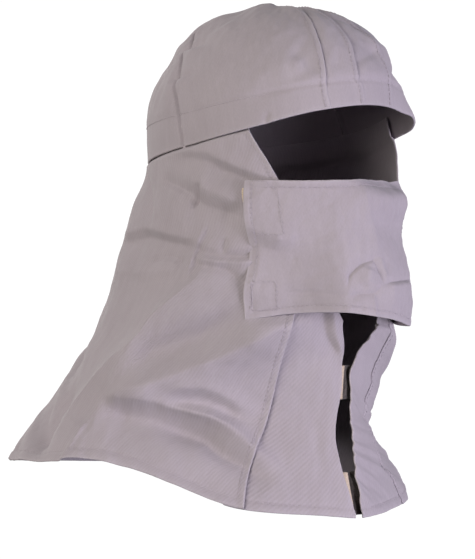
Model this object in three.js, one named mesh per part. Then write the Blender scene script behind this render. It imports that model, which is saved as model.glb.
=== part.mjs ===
// Cotton protective hood as it is worn: a panelled cap, a neck cape that hangs from the cap's rim and is closed
// at the throat, and a face flap that is pressed onto the cape over the cheeks.
// Millimetres, +Z up. The wearer looks along -Y, so the wearer's right side is at -X.
// The origin is the seat where the top of the head meets the inside of the cap.
// Angles are in degrees round the head: 0 is the front, 90 the wearer's right, 180 the back, 270 the left.

import * as THREE from "three";

// Cloth
const CLOTH = 1.2; // one layer of cotton drill
const HEM_CLOTH = 2.2; // the turned hem, folded double
const HEM_DEPTH = 9; // height of the turned hem at the cape's lower edge
const CAPE_DROP = 230; // length of the cape's cloth from the cap's rim to the hem
const GAP = 0.4; // clear space between two layers that touch on the real hood
const TAPE = 1.4; // thickness of a hook-and-loop tape

// Cap
const CROWN_TOP = 2; // top of the dome above the seat, without its slack folds
const DOME_BASE = -96; // the dome is widest here and upright below
const DOME_POWER = { front: 2.4, back: 2.0 }; // 2 is a round dome, more is a squarer shoulder
const CAP_RING = { halfWidth: 84, frontY: -98, widestY: 0, backY: 106, frontPower: 2.05, backPower: 2.15 };
const CAP_HEM = 19; // the rim is turned up and stitched this far above its edge
const CAP_PUFF = 1.6; // how far a panel swells out between its seams
const CAP_FADE = 0.25; // folds die out over this share of the way below the apex
const SEAM_HALF_WIDTH = 5; // reach of the groove on each side of a seam
const CROWN_EYE = 0.992; // the panels stop just short of the apex, where they are gathered
const CAP_SLOPE = 130; // length of the cap's cloth from the rim to the apex
const TUCK = 15; // the cape's upper edge is sewn this far above the cap's rim, inside it

// Height of the cap's rim round the head
const RIM = [
  { angle: 0, z: -72 },
  { angle: 30, z: -77 },
  { angle: 60, z: -88 },
  { angle: 97, z: -100 },
  { angle: 135, z: -109 },
  { angle: 180, z: -112 },
];

// Cap seams: where each meets the rim, and how far it leans towards the back on its way to the apex.
// The cap is worn a little turned, so its front seam is off the middle.
const CAP_SEAMS = {
  leftSide: { angle: -13, lean: 0 },
  front: { angle: 7.5, lean: 1 },
  rightSide: { angle: 25.5, lean: 3.5 },
  rightBack: { angle: 95.6, lean: 28 },
  leftBack: { angle: 263, lean: -27 },
};

// Slack folds of the cap: a ridge from one point to another, by angle and by share of the way up.
// In the two fold tables, left and right are the ridge's widths on the two sides of the way it runs,
// on the unrolled cloth with the angle to the right and up at the top.
const CAP_FOLDS = [
  { fromAngle: 300, fromUp: 0, toAngle: 335, toUp: 0, rise: 4, left: 11, right: 11 }, // rim stands off the brow
  { fromAngle: 60, fromUp: 0.9, toAngle: 240, toUp: 0.9, rise: 4, left: 13, right: 13 }, // slack top
  { fromAngle: 122, fromUp: 0.44, toAngle: 104, toUp: 0.46, rise: 2.5, left: 7, right: 5 }, // seam pucker
];

// Horizontal rings of the cape. frontPower under 2 draws the front together like a bow.
const CAPE_RINGS = [
  { z: -109, halfWidth: 82, frontY: -93, widestY: 0, backY: 104, frontPower: 1.88, backPower: 2.15 },
  { z: -150, halfWidth: 88, frontY: -88, widestY: 4, backY: 118, frontPower: 1.78, backPower: 2.2 },
  { z: -190, halfWidth: 94, frontY: -86, widestY: 11, backY: 131, frontPower: 1.7, backPower: 2.4 },
  { z: -223, halfWidth: 102, frontY: -80, widestY: 20, backY: 141, frontPower: 1.55, backPower: 2.6 },
  { z: -250, halfWidth: 112, frontY: -74, widestY: 34, backY: 151, frontPower: 1.35, backPower: 2.8 },
  { z: -288, halfWidth: 127, frontY: -72, widestY: 50, backY: 165, frontPower: 1.18, backPower: 2.9 },
  { z: -324, halfWidth: 160, frontY: -77, widestY: 60, backY: 180, frontPower: 1.25, backPower: 2.7 },
  { z: -360, halfWidth: 170, frontY: -84, widestY: 62, backY: 184, frontPower: 1.4, backPower: 2.6 },
];

// Height of the cape's hem round the body. It is drawn up over the right shoulder more than over the left one.
const HEM = [
  { angle: 0, z: -358 },
  { angle: 20, z: -354 },
  { angle: 36, z: -349 },
  { angle: 50, z: -333 },
  { angle: 60, z: -323 },
  { angle: 75, z: -317 },
  { angle: 100, z: -320 },
  { angle: 130, z: -324 },
  { angle: 180, z: -333 },
  { angle: 225, z: -346 },
  { angle: 262, z: -350 },
  { angle: 300, z: -345 },
  { angle: 324, z: -350 },
  { angle: 340, z: -354 },
  { angle: 360, z: -358 },
];

// Front edge of the cape's body: the face opening down to the cheek, then the seam to the front panel
const BODY_EDGE = [
  { z: -60, angle: 68 },
  { z: -89, angle: 60.5 },
  { z: -123, angle: 47 },
  { z: -166, angle: 28 },
  { z: -221, angle: 32.6 },
  { z: -252, angle: 33.2 },
  { z: -288, angle: 34.2 },
  { z: -360, angle: 35.6 },
];
const SEAM_TOP = -166; // the seam starts here, on the edge of the face opening
const LAP = 4; // degrees that a front panel runs under the body at the seam

// Edges of the two front panels at the throat slit, as distances from the middle
const SLIT = [
  { z: -222, right: 12, left: 26 },
  { z: -240, right: 7, left: 13 },
  { z: -252, right: 7, left: 4 },
  { z: -270, right: 6, left: 3 },
  { z: -302, right: 10.5, left: 5.5 },
  { z: -323, right: 9.5, left: 2.5 },
  { z: -345, right: 6.5, left: 2 },
  { z: -360, right: 5, left: 3 },
];
const THROAT = -222; // top of the slit

// Folds of the cape: a ridge, or a dent where the rise is negative, from one point to another
const CAPE_FOLDS = [
  { fromAngle: 76, fromZ: -176, toAngle: 92, toZ: -292, rise: 6, left: 13, right: 24 }, // along the shoulder
  { fromAngle: 76, fromZ: -160, toAngle: 76, toZ: -186, rise: 4, left: 8, right: 7 }, // below the ear
  { fromAngle: 122, fromZ: -161, toAngle: 80, toZ: -164, rise: 4, left: 5, right: 10 }, // shelf at the nape
  { fromAngle: 76, fromZ: -170, toAngle: 64, toZ: -179, rise: 3, left: 9, right: 10 }, // towards the flap
  { fromAngle: 94, fromZ: -126, toAngle: 74, toZ: -128, rise: 2.5, left: 10, right: 10 }, // behind the cheek
  { fromAngle: 101, fromZ: -281, toAngle: 102, toZ: -303, rise: -5, left: 8, right: 6 }, // dent on the shoulder
  { fromAngle: 56, fromZ: -283, toAngle: 68, toZ: -312, rise: -5, left: 22, right: 22 }, // hollow above the hem
  { fromAngle: 160, fromZ: -190, toAngle: 150, toZ: -300, rise: 5, left: 18, right: 14 }, // drape down the back
  { fromAngle: 206, fromZ: -200, toAngle: 214, toZ: -310, rise: 5, left: 14, right: 18 },
  { fromAngle: 284, fromZ: -180, toAngle: 268, toZ: -292, rise: 6, left: 24, right: 13 }, // left shoulder
];

// Rings of the face flap where it stands clear of the cape, and how far it reaches over the nose and chin
const FLAP_RING = { halfWidth: 80, widestY: 0, backY: 90, frontPower: 2, backPower: 2 };
const FLAP_REACH = [
  { z: -122, frontY: -87 },
  { z: -136, frontY: -99 },
  { z: -157, frontY: -95 },
  { z: -200, frontY: -109 },
  { z: -226, frontY: -107 },
];

// The flap's upper and lower edges, and the angle at which it ends on each cheek
const FLAP_EDGES = [
  { angle: -60, top: -122, bottom: -219 },
  { angle: -30, top: -123, bottom: -225 },
  { angle: 0, top: -124, bottom: -219 },
  { angle: 30, top: -125, bottom: -214.5 },
  { angle: 60, top: -125, bottom: -219 },
];
const FLAP_END = [
  { z: -122, angle: 60 },
  { z: -172, angle: 54 },
  { z: -226, angle: 47 },
];
// On each cheek the flap leaves its own rings at the first angle and lies on the cape's pads from the second
const FLAP_SEAT = { right: { free: 20, seated: 37 }, left: { free: 26, seated: 44 } };

// Hook-and-loop pads between the flap and the cape: angles from the flap's end, and heights
const PADS = [
  { name: "flap_pad_upper", start: -1.2, end: 11, top: -127, bottom: -164 },
  { name: "flap_pad_lower", start: 2, end: 9, top: -197, bottom: -213 },
];

// Tapes that close the slit, the hook half on the right panel and the loop half on the left one: how far each
// half runs from the middle towards the wearer's right and left, its heights, and the panel's wall there
const TAPES = [
  {
    name: "neck_tape",
    hookRight: 19, hookLeft: -3, loopRight: 13, loopLeft: 15, top: -253, bottom: -276, wall: CLOTH,
  },
  {
    name: "hem_tape",
    hookRight: 17, hookLeft: -3, loopRight: 12, loopLeft: 14, top: -336, bottom: -352, wall: HEM_CLOTH,
  },
];
const LOOP_BEND = { from: -8, to: -1 }; // where the loop half dips behind the hook half, towards the right

const DEGREES = Math.PI / 180;
const SETTLE_ROUNDS = 6; // an edge's angle and height depend on each other, so they are read in turn
const COTTON = { color: 0xa59a9f, roughness: 0.92, metalness: 0 };
const TAPE_FINISH = { color: 0xb7a58e, roughness: 0.95, metalness: 0 };

const mix = (a, b, share) => a + (b - a) * share;
const clamp = (x, low, high) => Math.min(high, Math.max(low, x));

// Rises smoothly from 0 at low to 1 at high.
function rise(low, high, x) {
  const t = clamp((x - low) / (high - low), 0, 1);
  return t * t * (3 - 2 * t);
}

// Reads every column of a table at a value of its key column, on a smooth curve through the rows.
function tableAt(rows, key, value) {
  const last = rows.length - 1;
  const way = Math.sign(rows[last][key] - rows[0][key]);
  let i = 0;
  while (i < last - 1 && (value - rows[i + 1][key]) * way > 0) i += 1;
  const [from, to] = [rows[i], rows[i + 1]];
  const [before, after] = [rows[Math.max(i - 1, 0)], rows[Math.min(i + 2, last)]];
  const span = to[key] - from[key];
  const t = clamp((value - from[key]) / span, 0, 1);
  const read = {};
  for (const column of Object.keys(from)) {
    const slopeIn = from === before ? 0 : (to[column] - before[column]) / (to[key] - before[key]);
    const slopeOut = to === after ? 0 : (after[column] - from[column]) / (after[key] - from[key]);
    read[column] =
      (2 * t ** 3 - 3 * t ** 2 + 1) * from[column] +
      (t ** 3 - 2 * t ** 2 + t) * span * slopeIn +
      (3 * t ** 2 - 2 * t ** 3) * to[column] +
      (t ** 3 - t ** 2) * span * slopeOut;
  }
  return read;
}

// The fold tables count a whole turn from 0, so a left angle below 0 is read from the other end.
const inTurn = (angle) => (angle + 360) % 360;

// The two sides share one table, so an angle is folded onto the right side.
const onRight = (angle) => (angle > 180 ? 360 - angle : Math.abs(angle));
const rimZ = (angle) => tableAt(RIM, "angle", onRight(angle)).z;
const hemZ = (angle) => tableAt(HEM, "angle", inTurn(angle)).z;

// A point of a horizontal ring, scaled about the head's axis.
function ringPoint(ring, angle, z, scale = 1) {
  const across = Math.sin(angle * DEGREES);
  const ahead = Math.cos(angle * DEGREES);
  const power = 2 / (ahead > 0 ? ring.frontPower : ring.backPower);
  const reach = ahead > 0 ? ring.frontY - ring.widestY : ring.backY - ring.widestY;
  const x = -ring.halfWidth * Math.sign(across) * Math.abs(across) ** power;
  const y = ring.widestY + reach * Math.abs(ahead) ** power;
  return new THREE.Vector3(x * scale, y * scale, z);
}

// Outward normal of a surface that is read by angle and by height, or by the share of the way up.
const ANGLE_STEP = 0.4;
const NORMAL_STEP = 0.01;
function normalAt(surface, angle, height, heightStep = ANGLE_STEP) {
  const round = surface(angle + ANGLE_STEP, height).sub(surface(angle - ANGLE_STEP, height));
  const up = surface(angle, height + heightStep).sub(surface(angle, height - heightStep));
  return up.cross(round).normalize();
}

// The same surface, moved outwards by a distance.
function offset(surface, distance) {
  return (angle, z) => surface(angle, z).addScaledVector(normalAt(surface, angle, z), distance);
}

// Height of a ridge at a place given across and along it, in millimetres.
function ridge(fold, toLeft, alongShare, span) {
  const width = toLeft > 0 ? fold.left : fold.right;
  const past = Math.max(0, -alongShare, alongShare - 1) * span;
  return fold.rise * Math.exp(-((toLeft / width) ** 2) - (past / Math.max(fold.left, fold.right)) ** 2);
}

// Sum of a table's folds at one place. chart gives a point in millimetres on the unrolled cloth.
function foldHeight(folds, chart, here) {
  let height = 0;
  for (const fold of folds) {
    const from = chart(fold.fromAngle, fold.fromZ ?? fold.fromUp);
    const line = chart(fold.toAngle, fold.toZ ?? fold.toUp).sub(from);
    const away = here.clone().sub(from);
    const span = line.length();
    height += ridge(fold, line.cross(away) / span, line.dot(away) / (span * span), span);
  }
  return height;
}

// Scale of the cap's rings at a height: 1 at the dome's base, 0 at its top.
function domeScale(z, angle) {
  const up = clamp((z - DOME_BASE) / (CROWN_TOP - DOME_BASE), 0, 1);
  const power = mix(DOME_POWER.back, DOME_POWER.front, (1 + Math.cos(angle * DEGREES)) / 2);
  return (1 - up ** power) ** (1 / power);
}

// The cap's surface by angle and by share of the way from the rim to the apex.
function capChart(angle, up) {
  return new THREE.Vector2(inTurn(angle) * DEGREES * CAP_RING.halfWidth, up * CAP_SLOPE);
}
const capZ = (angle, up) => mix(rimZ(angle), CROWN_TOP, Math.sin((up * Math.PI) / 2));
function capSmooth(angle, up) {
  const z = capZ(angle, up);
  return ringPoint(CAP_RING, angle, z, domeScale(z, angle));
}

// A panel of the cap between two seams. It swells between them, above the stitched hem.
function capPanel(fromSeam, toSeam) {
  const seamAngle = (seam, up) => seam.angle + seam.lean * up;
  return (across, upShare) => {
    const up = upShare * CROWN_EYE;
    const low = seamAngle(fromSeam, up);
    const high = seamAngle(toSeam, up);
    const reach = CAP_RING.halfWidth * Math.max(1 - CROWN_EYE, domeScale(capZ(low, up), low));
    const inset = Math.min(GAP / 2 / reach / DEGREES, (high - low) / 3);
    const angle = mix(low + inset, high - inset, across);
    const fromSeamLine = Math.min(angle - low, high - angle) * DEGREES * reach;
    const swell = CAP_PUFF * (1 - Math.exp(-((fromSeamLine / SEAM_HALF_WIDTH) ** 2)));
    const aboveHem = rise(CAP_HEM - SEAM_HALF_WIDTH, CAP_HEM + SEAM_HALF_WIDTH, up * CAP_SLOPE);
    const belowApex = rise(0, CAP_FADE, 1 - up);
    const slack = foldHeight(CAP_FOLDS, capChart, capChart(angle, up)) * belowApex;
    const out = normalAt(capSmooth, angle, clamp(up, NORMAL_STEP, 1 - 2 * NORMAL_STEP), NORMAL_STEP);
    return capSmooth(angle, up).addScaledVector(out, swell * aboveHem + slack);
  };
}

// The cape's surface by angle and height. Above the cap's rim it keeps inside the cap.
const capeRing = (z) => tableAt(CAPE_RINGS, "z", z);
const capeSmooth = (angle, z) => ringPoint(capeRing(z), angle, z, domeScale(z, angle));
function capeChart(angle, z) {
  return new THREE.Vector2(inTurn(angle) * DEGREES * capeRing(z).halfWidth, z);
}
function cape(angle, z) {
  const height = foldHeight(CAPE_FOLDS, capeChart, capeChart(angle, z));
  return capeSmooth(angle, z).addScaledVector(normalAt(capeSmooth, angle, z), height);
}

const bodyEdge = (z) => tableAt(BODY_EDGE, "z", z).angle;

// The back and sides of the cape in one piece, from one front seam round the back to the other.
function capeBody(across, down) {
  const heightAt = (angle) => mix(rimZ(angle) + TUCK, hemZ(angle), down);
  const edges = { right: BODY_EDGE[1].angle, left: 360 - BODY_EDGE[1].angle };
  for (let i = 0; i < SETTLE_ROUNDS; i += 1) {
    edges.right = bodyEdge(heightAt(edges.right));
    edges.left = 360 - bodyEdge(heightAt(edges.left));
  }
  const angle = mix(edges.right, edges.left, across);
  return cape(angle, heightAt(angle));
}

// Angle at which a ring is a given distance from the middle plane, near the front.
function angleAtX(z, x) {
  const ring = capeRing(z);
  return Math.asin((x / ring.halfWidth) ** (ring.frontPower / 2)) / DEGREES;
}

// A front panel: from under the body's edge at the seam to the slit, and from the face opening to the hem.
const FRONT_DEPTH = HEM_CLOTH + GAP; // a front panel's face lies this far behind the body's face
const frontLayer = offset(cape, -FRONT_DEPTH);
function frontPanel(side) {
  const sign = side === "right" ? 1 : -1;
  return (across, down) => {
    const top = mix(SEAM_TOP, THROAT, across);
    let z = mix(top, HEM[0].z, down);
    let angle = 0;
    for (let i = 0; i < SETTLE_ROUNDS; i += 1) {
      const slit = angleAtX(z, tableAt(SLIT, "z", z)[side]);
      angle = mix(bodyEdge(z) + LAP, slit, across);
      z = mix(top, hemZ(sign * angle), down);
    }
    return frontLayer(sign * angle, z);
  };
}

// The face flap: it lies on the cape at its ends, over the pads, and stands clear of it in between.
const flapEnd = (z) => tableAt(FLAP_END, "z", z).angle;
const onPads = offset(cape, CLOTH + TAPE + 2 * GAP);
function flapSurface(angle, z) {
  const seat = angle > 0 ? FLAP_SEAT.right : FLAP_SEAT.left;
  const free = ringPoint({ ...FLAP_RING, ...tableAt(FLAP_REACH, "z", z) }, angle, z);
  return free.lerp(onPads(angle, z), rise(seat.free, seat.seated, Math.abs(angle)));
}
function faceFlap(across, down) {
  let angle = mix(-FLAP_END[0].angle, FLAP_END[0].angle, across);
  let z = 0;
  for (let i = 0; i < SETTLE_ROUNDS; i += 1) {
    const edges = tableAt(FLAP_EDGES, "angle", angle);
    z = mix(edges.top, edges.bottom, down);
    angle = mix(-flapEnd(z), flapEnd(z), across);
  }
  return flapSurface(angle, z);
}

// A pad under the flap, on the right cheek or the left one.
const padLayer = offset(cape, GAP + TAPE);
function flapPad(pad, sign) {
  return (across, down) => {
    const z = mix(pad.top, pad.bottom, down);
    const ends = [flapEnd(z) - pad.end, flapEnd(z) - pad.start];
    return padLayer(sign * mix(ends[0], ends[1], sign > 0 ? across : 1 - across), z);
  };
}

// A half of a throat tape, a given depth behind the cape's face. The distance to the right is positive.
const LEAST_FACING = 0.5; // a face turned further sideways than this is treated as if it were not
function throatTape(tape, left, right, depthAt) {
  return (across, down) => {
    const z = mix(tape.top, tape.bottom, down);
    const toRight = mix(-left, right, across);
    const angle = Math.sign(toRight) * angleAtX(z, Math.abs(toRight));
    const point = cape(angle, z);
    point.y += depthAt(toRight) / Math.max(LEAST_FACING, Math.abs(normalAt(cape, angle, z).y));
    return point;
  };
}

// A closed shell of cloth: a grid of the outer face, the inner face one wall behind it, and the four edges.
// place gives the outer face by share across and share down. Across runs the way that the angle grows.
function clothShell(place, columns, rows, wall) {
  const outer = [];
  for (let r = 0; r <= rows; r += 1) {
    for (let c = 0; c <= columns; c += 1) outer.push(place(c / columns, r / rows));
  }
  const at = (r, c) => r * (columns + 1) + c;
  const inner = outer.map((point, i) => {
    const r = Math.floor(i / (columns + 1));
    const c = i % (columns + 1);
    const round = outer[at(r, Math.min(c + 1, columns))].clone().sub(outer[at(r, Math.max(c - 1, 0))]);
    const down = outer[at(Math.min(r + 1, rows), c)].clone().sub(outer[at(Math.max(r - 1, 0), c)]);
    const inwards = down.cross(round).normalize();
    return point.clone().addScaledVector(inwards, wall(c / columns, r / rows));
  });
  const count = outer.length;
  const faces = [];
  const quad = (a, b, c, d) => faces.push(a, b, c, a, c, d);
  for (let r = 0; r < rows; r += 1) {
    for (let c = 0; c < columns; c += 1) {
      const [a, b, d, e] = [at(r, c), at(r, c + 1), at(r + 1, c + 1), at(r + 1, c)];
      quad(a, b, d, e);
      quad(a + count, e + count, d + count, b + count);
    }
  }
  for (let c = 0; c < columns; c += 1) {
    quad(at(0, c + 1), at(0, c), at(0, c) + count, at(0, c + 1) + count);
    quad(at(rows, c), at(rows, c + 1), at(rows, c + 1) + count, at(rows, c) + count);
  }
  for (let r = 0; r < rows; r += 1) {
    quad(at(r, 0), at(r + 1, 0), at(r + 1, 0) + count, at(r, 0) + count);
    quad(at(r + 1, columns), at(r, columns), at(r, columns) + count, at(r + 1, columns) + count);
  }
  const geometry = new THREE.BufferGeometry();
  const positions = [...outer, ...inner].flatMap((p) => [p.x, p.y, p.z]);
  geometry.setAttribute("position", new THREE.Float32BufferAttribute(positions, 3));
  geometry.setIndex(faces);
  geometry.computeVertexNormals();
  return geometry;
}

const hood = new THREE.Group();

function addPiece(name, geometry, finish) {
  const piece = new THREE.Mesh(geometry, new THREE.MeshStandardMaterial(finish));
  piece.name = name;
  hood.add(piece);
}

const single = () => CLOTH;

// Cap panels, each from one seam to the next
const wholeTurn = (seam) => ({ angle: seam.angle + 360, lean: seam.lean });
const CAP_ROWS = 11;
const CAP_PANELS = [
  { name: "crown_front_left", from: CAP_SEAMS.leftSide, to: CAP_SEAMS.front, columns: 4 },
  { name: "crown_front_right", from: CAP_SEAMS.front, to: CAP_SEAMS.rightSide, columns: 4 },
  { name: "crown_side_right", from: CAP_SEAMS.rightSide, to: CAP_SEAMS.rightBack, columns: 10 },
  { name: "crown_back", from: CAP_SEAMS.rightBack, to: CAP_SEAMS.leftBack, columns: 18 },
  { name: "crown_side_left", from: CAP_SEAMS.leftBack, to: wholeTurn(CAP_SEAMS.leftSide), columns: 12 },
];
for (const { name, from, to, columns } of CAP_PANELS) {
  const panel = capPanel(from, to);
  addPiece(name, clothShell((across, down) => panel(across, 1 - down), columns, CAP_ROWS, single), COTTON);
}

// Cape
const BODY_GRID = [46, 18]; // columns and rows
const FRONT_GRID = [9, 14];
const HEM_SHARE = HEM_DEPTH / CAPE_DROP;
const hemmed = (across, down) => mix(CLOTH, HEM_CLOTH, rise(1 - 2 * HEM_SHARE, 1 - HEM_SHARE, down));
const rightFront = frontPanel("right");
const fromSlit = (across, down) => rightFront(1 - across, down);
addPiece("cape_body", clothShell(capeBody, ...BODY_GRID, hemmed), COTTON);
addPiece("cape_front_right", clothShell(fromSlit, ...FRONT_GRID, hemmed), COTTON);
addPiece("cape_front_left", clothShell(frontPanel("left"), ...FRONT_GRID, hemmed), COTTON);

// Face flap and its pads
const FLAP_GRID = [26, 10];
const PAD_GRID = [3, 3];
const tapeWall = () => TAPE;
addPiece("face_flap", clothShell(faceFlap, ...FLAP_GRID, single), COTTON);
for (const pad of PADS) {
  addPiece(`${pad.name}_right`, clothShell(flapPad(pad, 1), ...PAD_GRID, tapeWall), TAPE_FINISH);
  addPiece(`${pad.name}_left`, clothShell(flapPad(pad, -1), ...PAD_GRID, tapeWall), TAPE_FINISH);
}

// Throat tapes: the hook half lies behind the right panel, the loop half runs from the left panel to behind it
const HOOK_GRID = [4, 3];
const LOOP_GRID = [8, 3];
for (const tape of TAPES) {
  const depth = FRONT_DEPTH + tape.wall + GAP;
  const loopDepth = (toRight) => mix(depth, depth + TAPE + GAP, rise(LOOP_BEND.from, LOOP_BEND.to, toRight));
  const hook = throatTape(tape, tape.hookLeft, tape.hookRight, () => depth);
  const loop = throatTape(tape, tape.loopLeft, tape.loopRight, loopDepth);
  addPiece(`${tape.name}_hook`, clothShell(hook, ...HOOK_GRID, tapeWall), TAPE_FINISH);
  addPiece(`${tape.name}_loop`, clothShell(loop, ...LOOP_GRID, tapeWall), TAPE_FINISH);
}

export default hood;
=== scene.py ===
"""Blender scene of a cotton protective hood, in the shape that it has when worn.

Tables are in millimetres and degrees, as in the part's source: +Z is up, the wearer looks along -Y, and
angles go round the head with 0 at the front, 90 at the wearer's right, 180 at the back and 270 at the left.
Meshes are made in metres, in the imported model's frame.
"""

import math

import bpy
import numpy as np
from mathutils import Matrix, Vector


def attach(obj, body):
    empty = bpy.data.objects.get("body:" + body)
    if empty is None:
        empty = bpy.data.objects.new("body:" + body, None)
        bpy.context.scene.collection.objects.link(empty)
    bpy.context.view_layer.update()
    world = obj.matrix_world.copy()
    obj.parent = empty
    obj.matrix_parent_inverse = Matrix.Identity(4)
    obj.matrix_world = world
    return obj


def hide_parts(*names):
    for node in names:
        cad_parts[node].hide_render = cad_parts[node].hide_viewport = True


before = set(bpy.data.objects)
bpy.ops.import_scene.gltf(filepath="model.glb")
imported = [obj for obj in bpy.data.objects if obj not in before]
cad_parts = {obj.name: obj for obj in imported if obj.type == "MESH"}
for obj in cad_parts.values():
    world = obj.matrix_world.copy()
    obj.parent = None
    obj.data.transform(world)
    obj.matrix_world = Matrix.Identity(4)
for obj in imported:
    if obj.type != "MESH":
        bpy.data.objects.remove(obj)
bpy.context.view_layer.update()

MM = 0.001


def columns(names, *rows):
    """A small table, as one array for each named column."""
    return dict(zip(names.split(), np.array(rows, float).T))


# Cloth
CLOTH = 1.2
HEM_CLOTH = 1.7
HEM_EASE = 4  # the cap's hem thins to the cloth over this height
GAP = 0.4
TAPE = 1.4
TUCK = 15  # the cape's upper edge is sewn this far above the cap's rim, inside it
EDGE_ROUND = 0.4  # an edge bulges by this share of the cloth's thickness
GROOVE_REACH = 1.3  # half width of the groove at a row of stitches

# Cap
CROWN_TOP = 2
DOME_BASE = -96
DOME_POWER_FRONT = 2.4
DOME_POWER_BACK = 2.0
CAP_RING = {
    "half_width": 84, "front_y": -98, "widest_y": 0, "back_y": 106, "front_power": 2.05, "back_power": 2.15,
}
CAP_HEM = 19  # the rim is turned up and stitched this far above its edge
CAP_SLOPE = 130  # length of the cap's cloth from the rim to the apex, in the chart of the folds
CHART_CUT = 120  # that chart is cut open this many degrees to the left of the front
CAP_BAND = 0.4  # the turned hem stands out this far
CAP_BAND_STEP = (1.0, -1.5)
CAP_GROOVE = 0.8  # depth of the groove at its stitches
CAP_BULGE = 0.9  # the crown bulges this far above the stitches
CAP_BULGE_UP = 7  # and most at this height above them
PLAIN_HEM = (45, 75)  # the hem's relief dies down between these angles
PLAIN_HEM_SHARE = 0.15  # to this share
RIM_SIDES = (40, 80)  # the rim comes to lie on the cape between these angles
RIM_BAND = 16  # it is drawn in over this height
CAP_PUFF = 1.1  # how far a panel swells out between its seams
SEAM_REACH = 5  # reach of the dip beside a seam
CROWN_EYE = 0.999  # the panels stop just short of the apex
LEAST_SCALE = 0.004  # least scale of a ring near the apex
APEX_CLEAR = 0.25  # folds die out over this share of the way below the apex
SLACK_FROM = (0.3, 0.55)  # the crown's slack begins between these shares of the way up
ROUGH_FROM = (0.05, 0.3)  # and its roughness between these
LAP_OVER = 1.2  # a lapped panel runs this far past its seam line
LAP_UNDER = 3.0  # and the panel below it this far the other way
LAP_FLAT = 1.2  # a lapped edge is flat this far in, falls over the next distance and dents the panel below
LAP_FALL = 2.2
LAP_SINK = 0.3
LAP_SINK_STEP = (0.5, -1.5)
SEAM_GROOVE_REACH = 1.2
SEAM_FADE = (0.002, 0.08)  # seams die out between these shares of the way below the apex

RIM = columns("angle z", (0, -72), (30, -77), (60, -88), (97, -100), (135, -107.5), (180, -111))

# Cap seams: whether lapped, height of the lapped edge or depth of the groove, and angle by share of the way
# up. A lapped seam has the panel of the larger angle on top.
CAP_SEAMS = {
    "left_side": (True, 0.1, columns("up angle", (0, -11.5), (0.17, -14), (0.5, -15), (1, -16))),
    "front": (
        True, 0.3,
        columns("up angle", (0, 7.5), (0.12, 7.8), (0.15, 9.7), (0.29, 8.8), (0.4, 7.2), (1, 5)),
    ),
    "right_side": (
        True, 0.4,
        columns("up angle", (0, 25.6), (0.1, 26.8), (0.39, 26.8), (0.73, 27.6), (1, 29)),
    ),
    "right_back": (
        False, 3.2,
        columns(
            "up angle",
            (0, 95.6), (0.165, 98.6), (0.3, 104.4), (0.36, 105.8), (0.43, 109.5), (0.484, 113.5),
            (0.515, 113), (0.56, 116), (0.61, 121.5), (1, 134),
        ),
    ),
    "left_back": (False, 1.6, columns("up angle", (0, 263), (0.4, 253), (1, 236))),
}
EVEN = (0.5, 0.5)
# Cap panels: name, seams, columns, flat size as cut and area in metres, and where the columns are crowded
CAP_PANELS = [
    ("crown_front_left", "left_side", "front", 30, (0.037, 0.157), 0.0042, EVEN),
    ("crown_front_right", "front", "right_side", 30, (0.035, 0.158), 0.0039, EVEN),
    ("crown_side_right", "right_side", "right_back", 100, (0.125, 0.171), 0.0164, (0.9, 0.78)),
    ("crown_back", "right_back", "left_back", 160, (0.274, 0.199), 0.0323, (0.05, 0.16)),
    ("crown_side_left", "left_back", "left_side", 90, (0.142, 0.169), 0.0180, (0.1, 0.2)),
]
CAP_ROWS = 96

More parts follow.
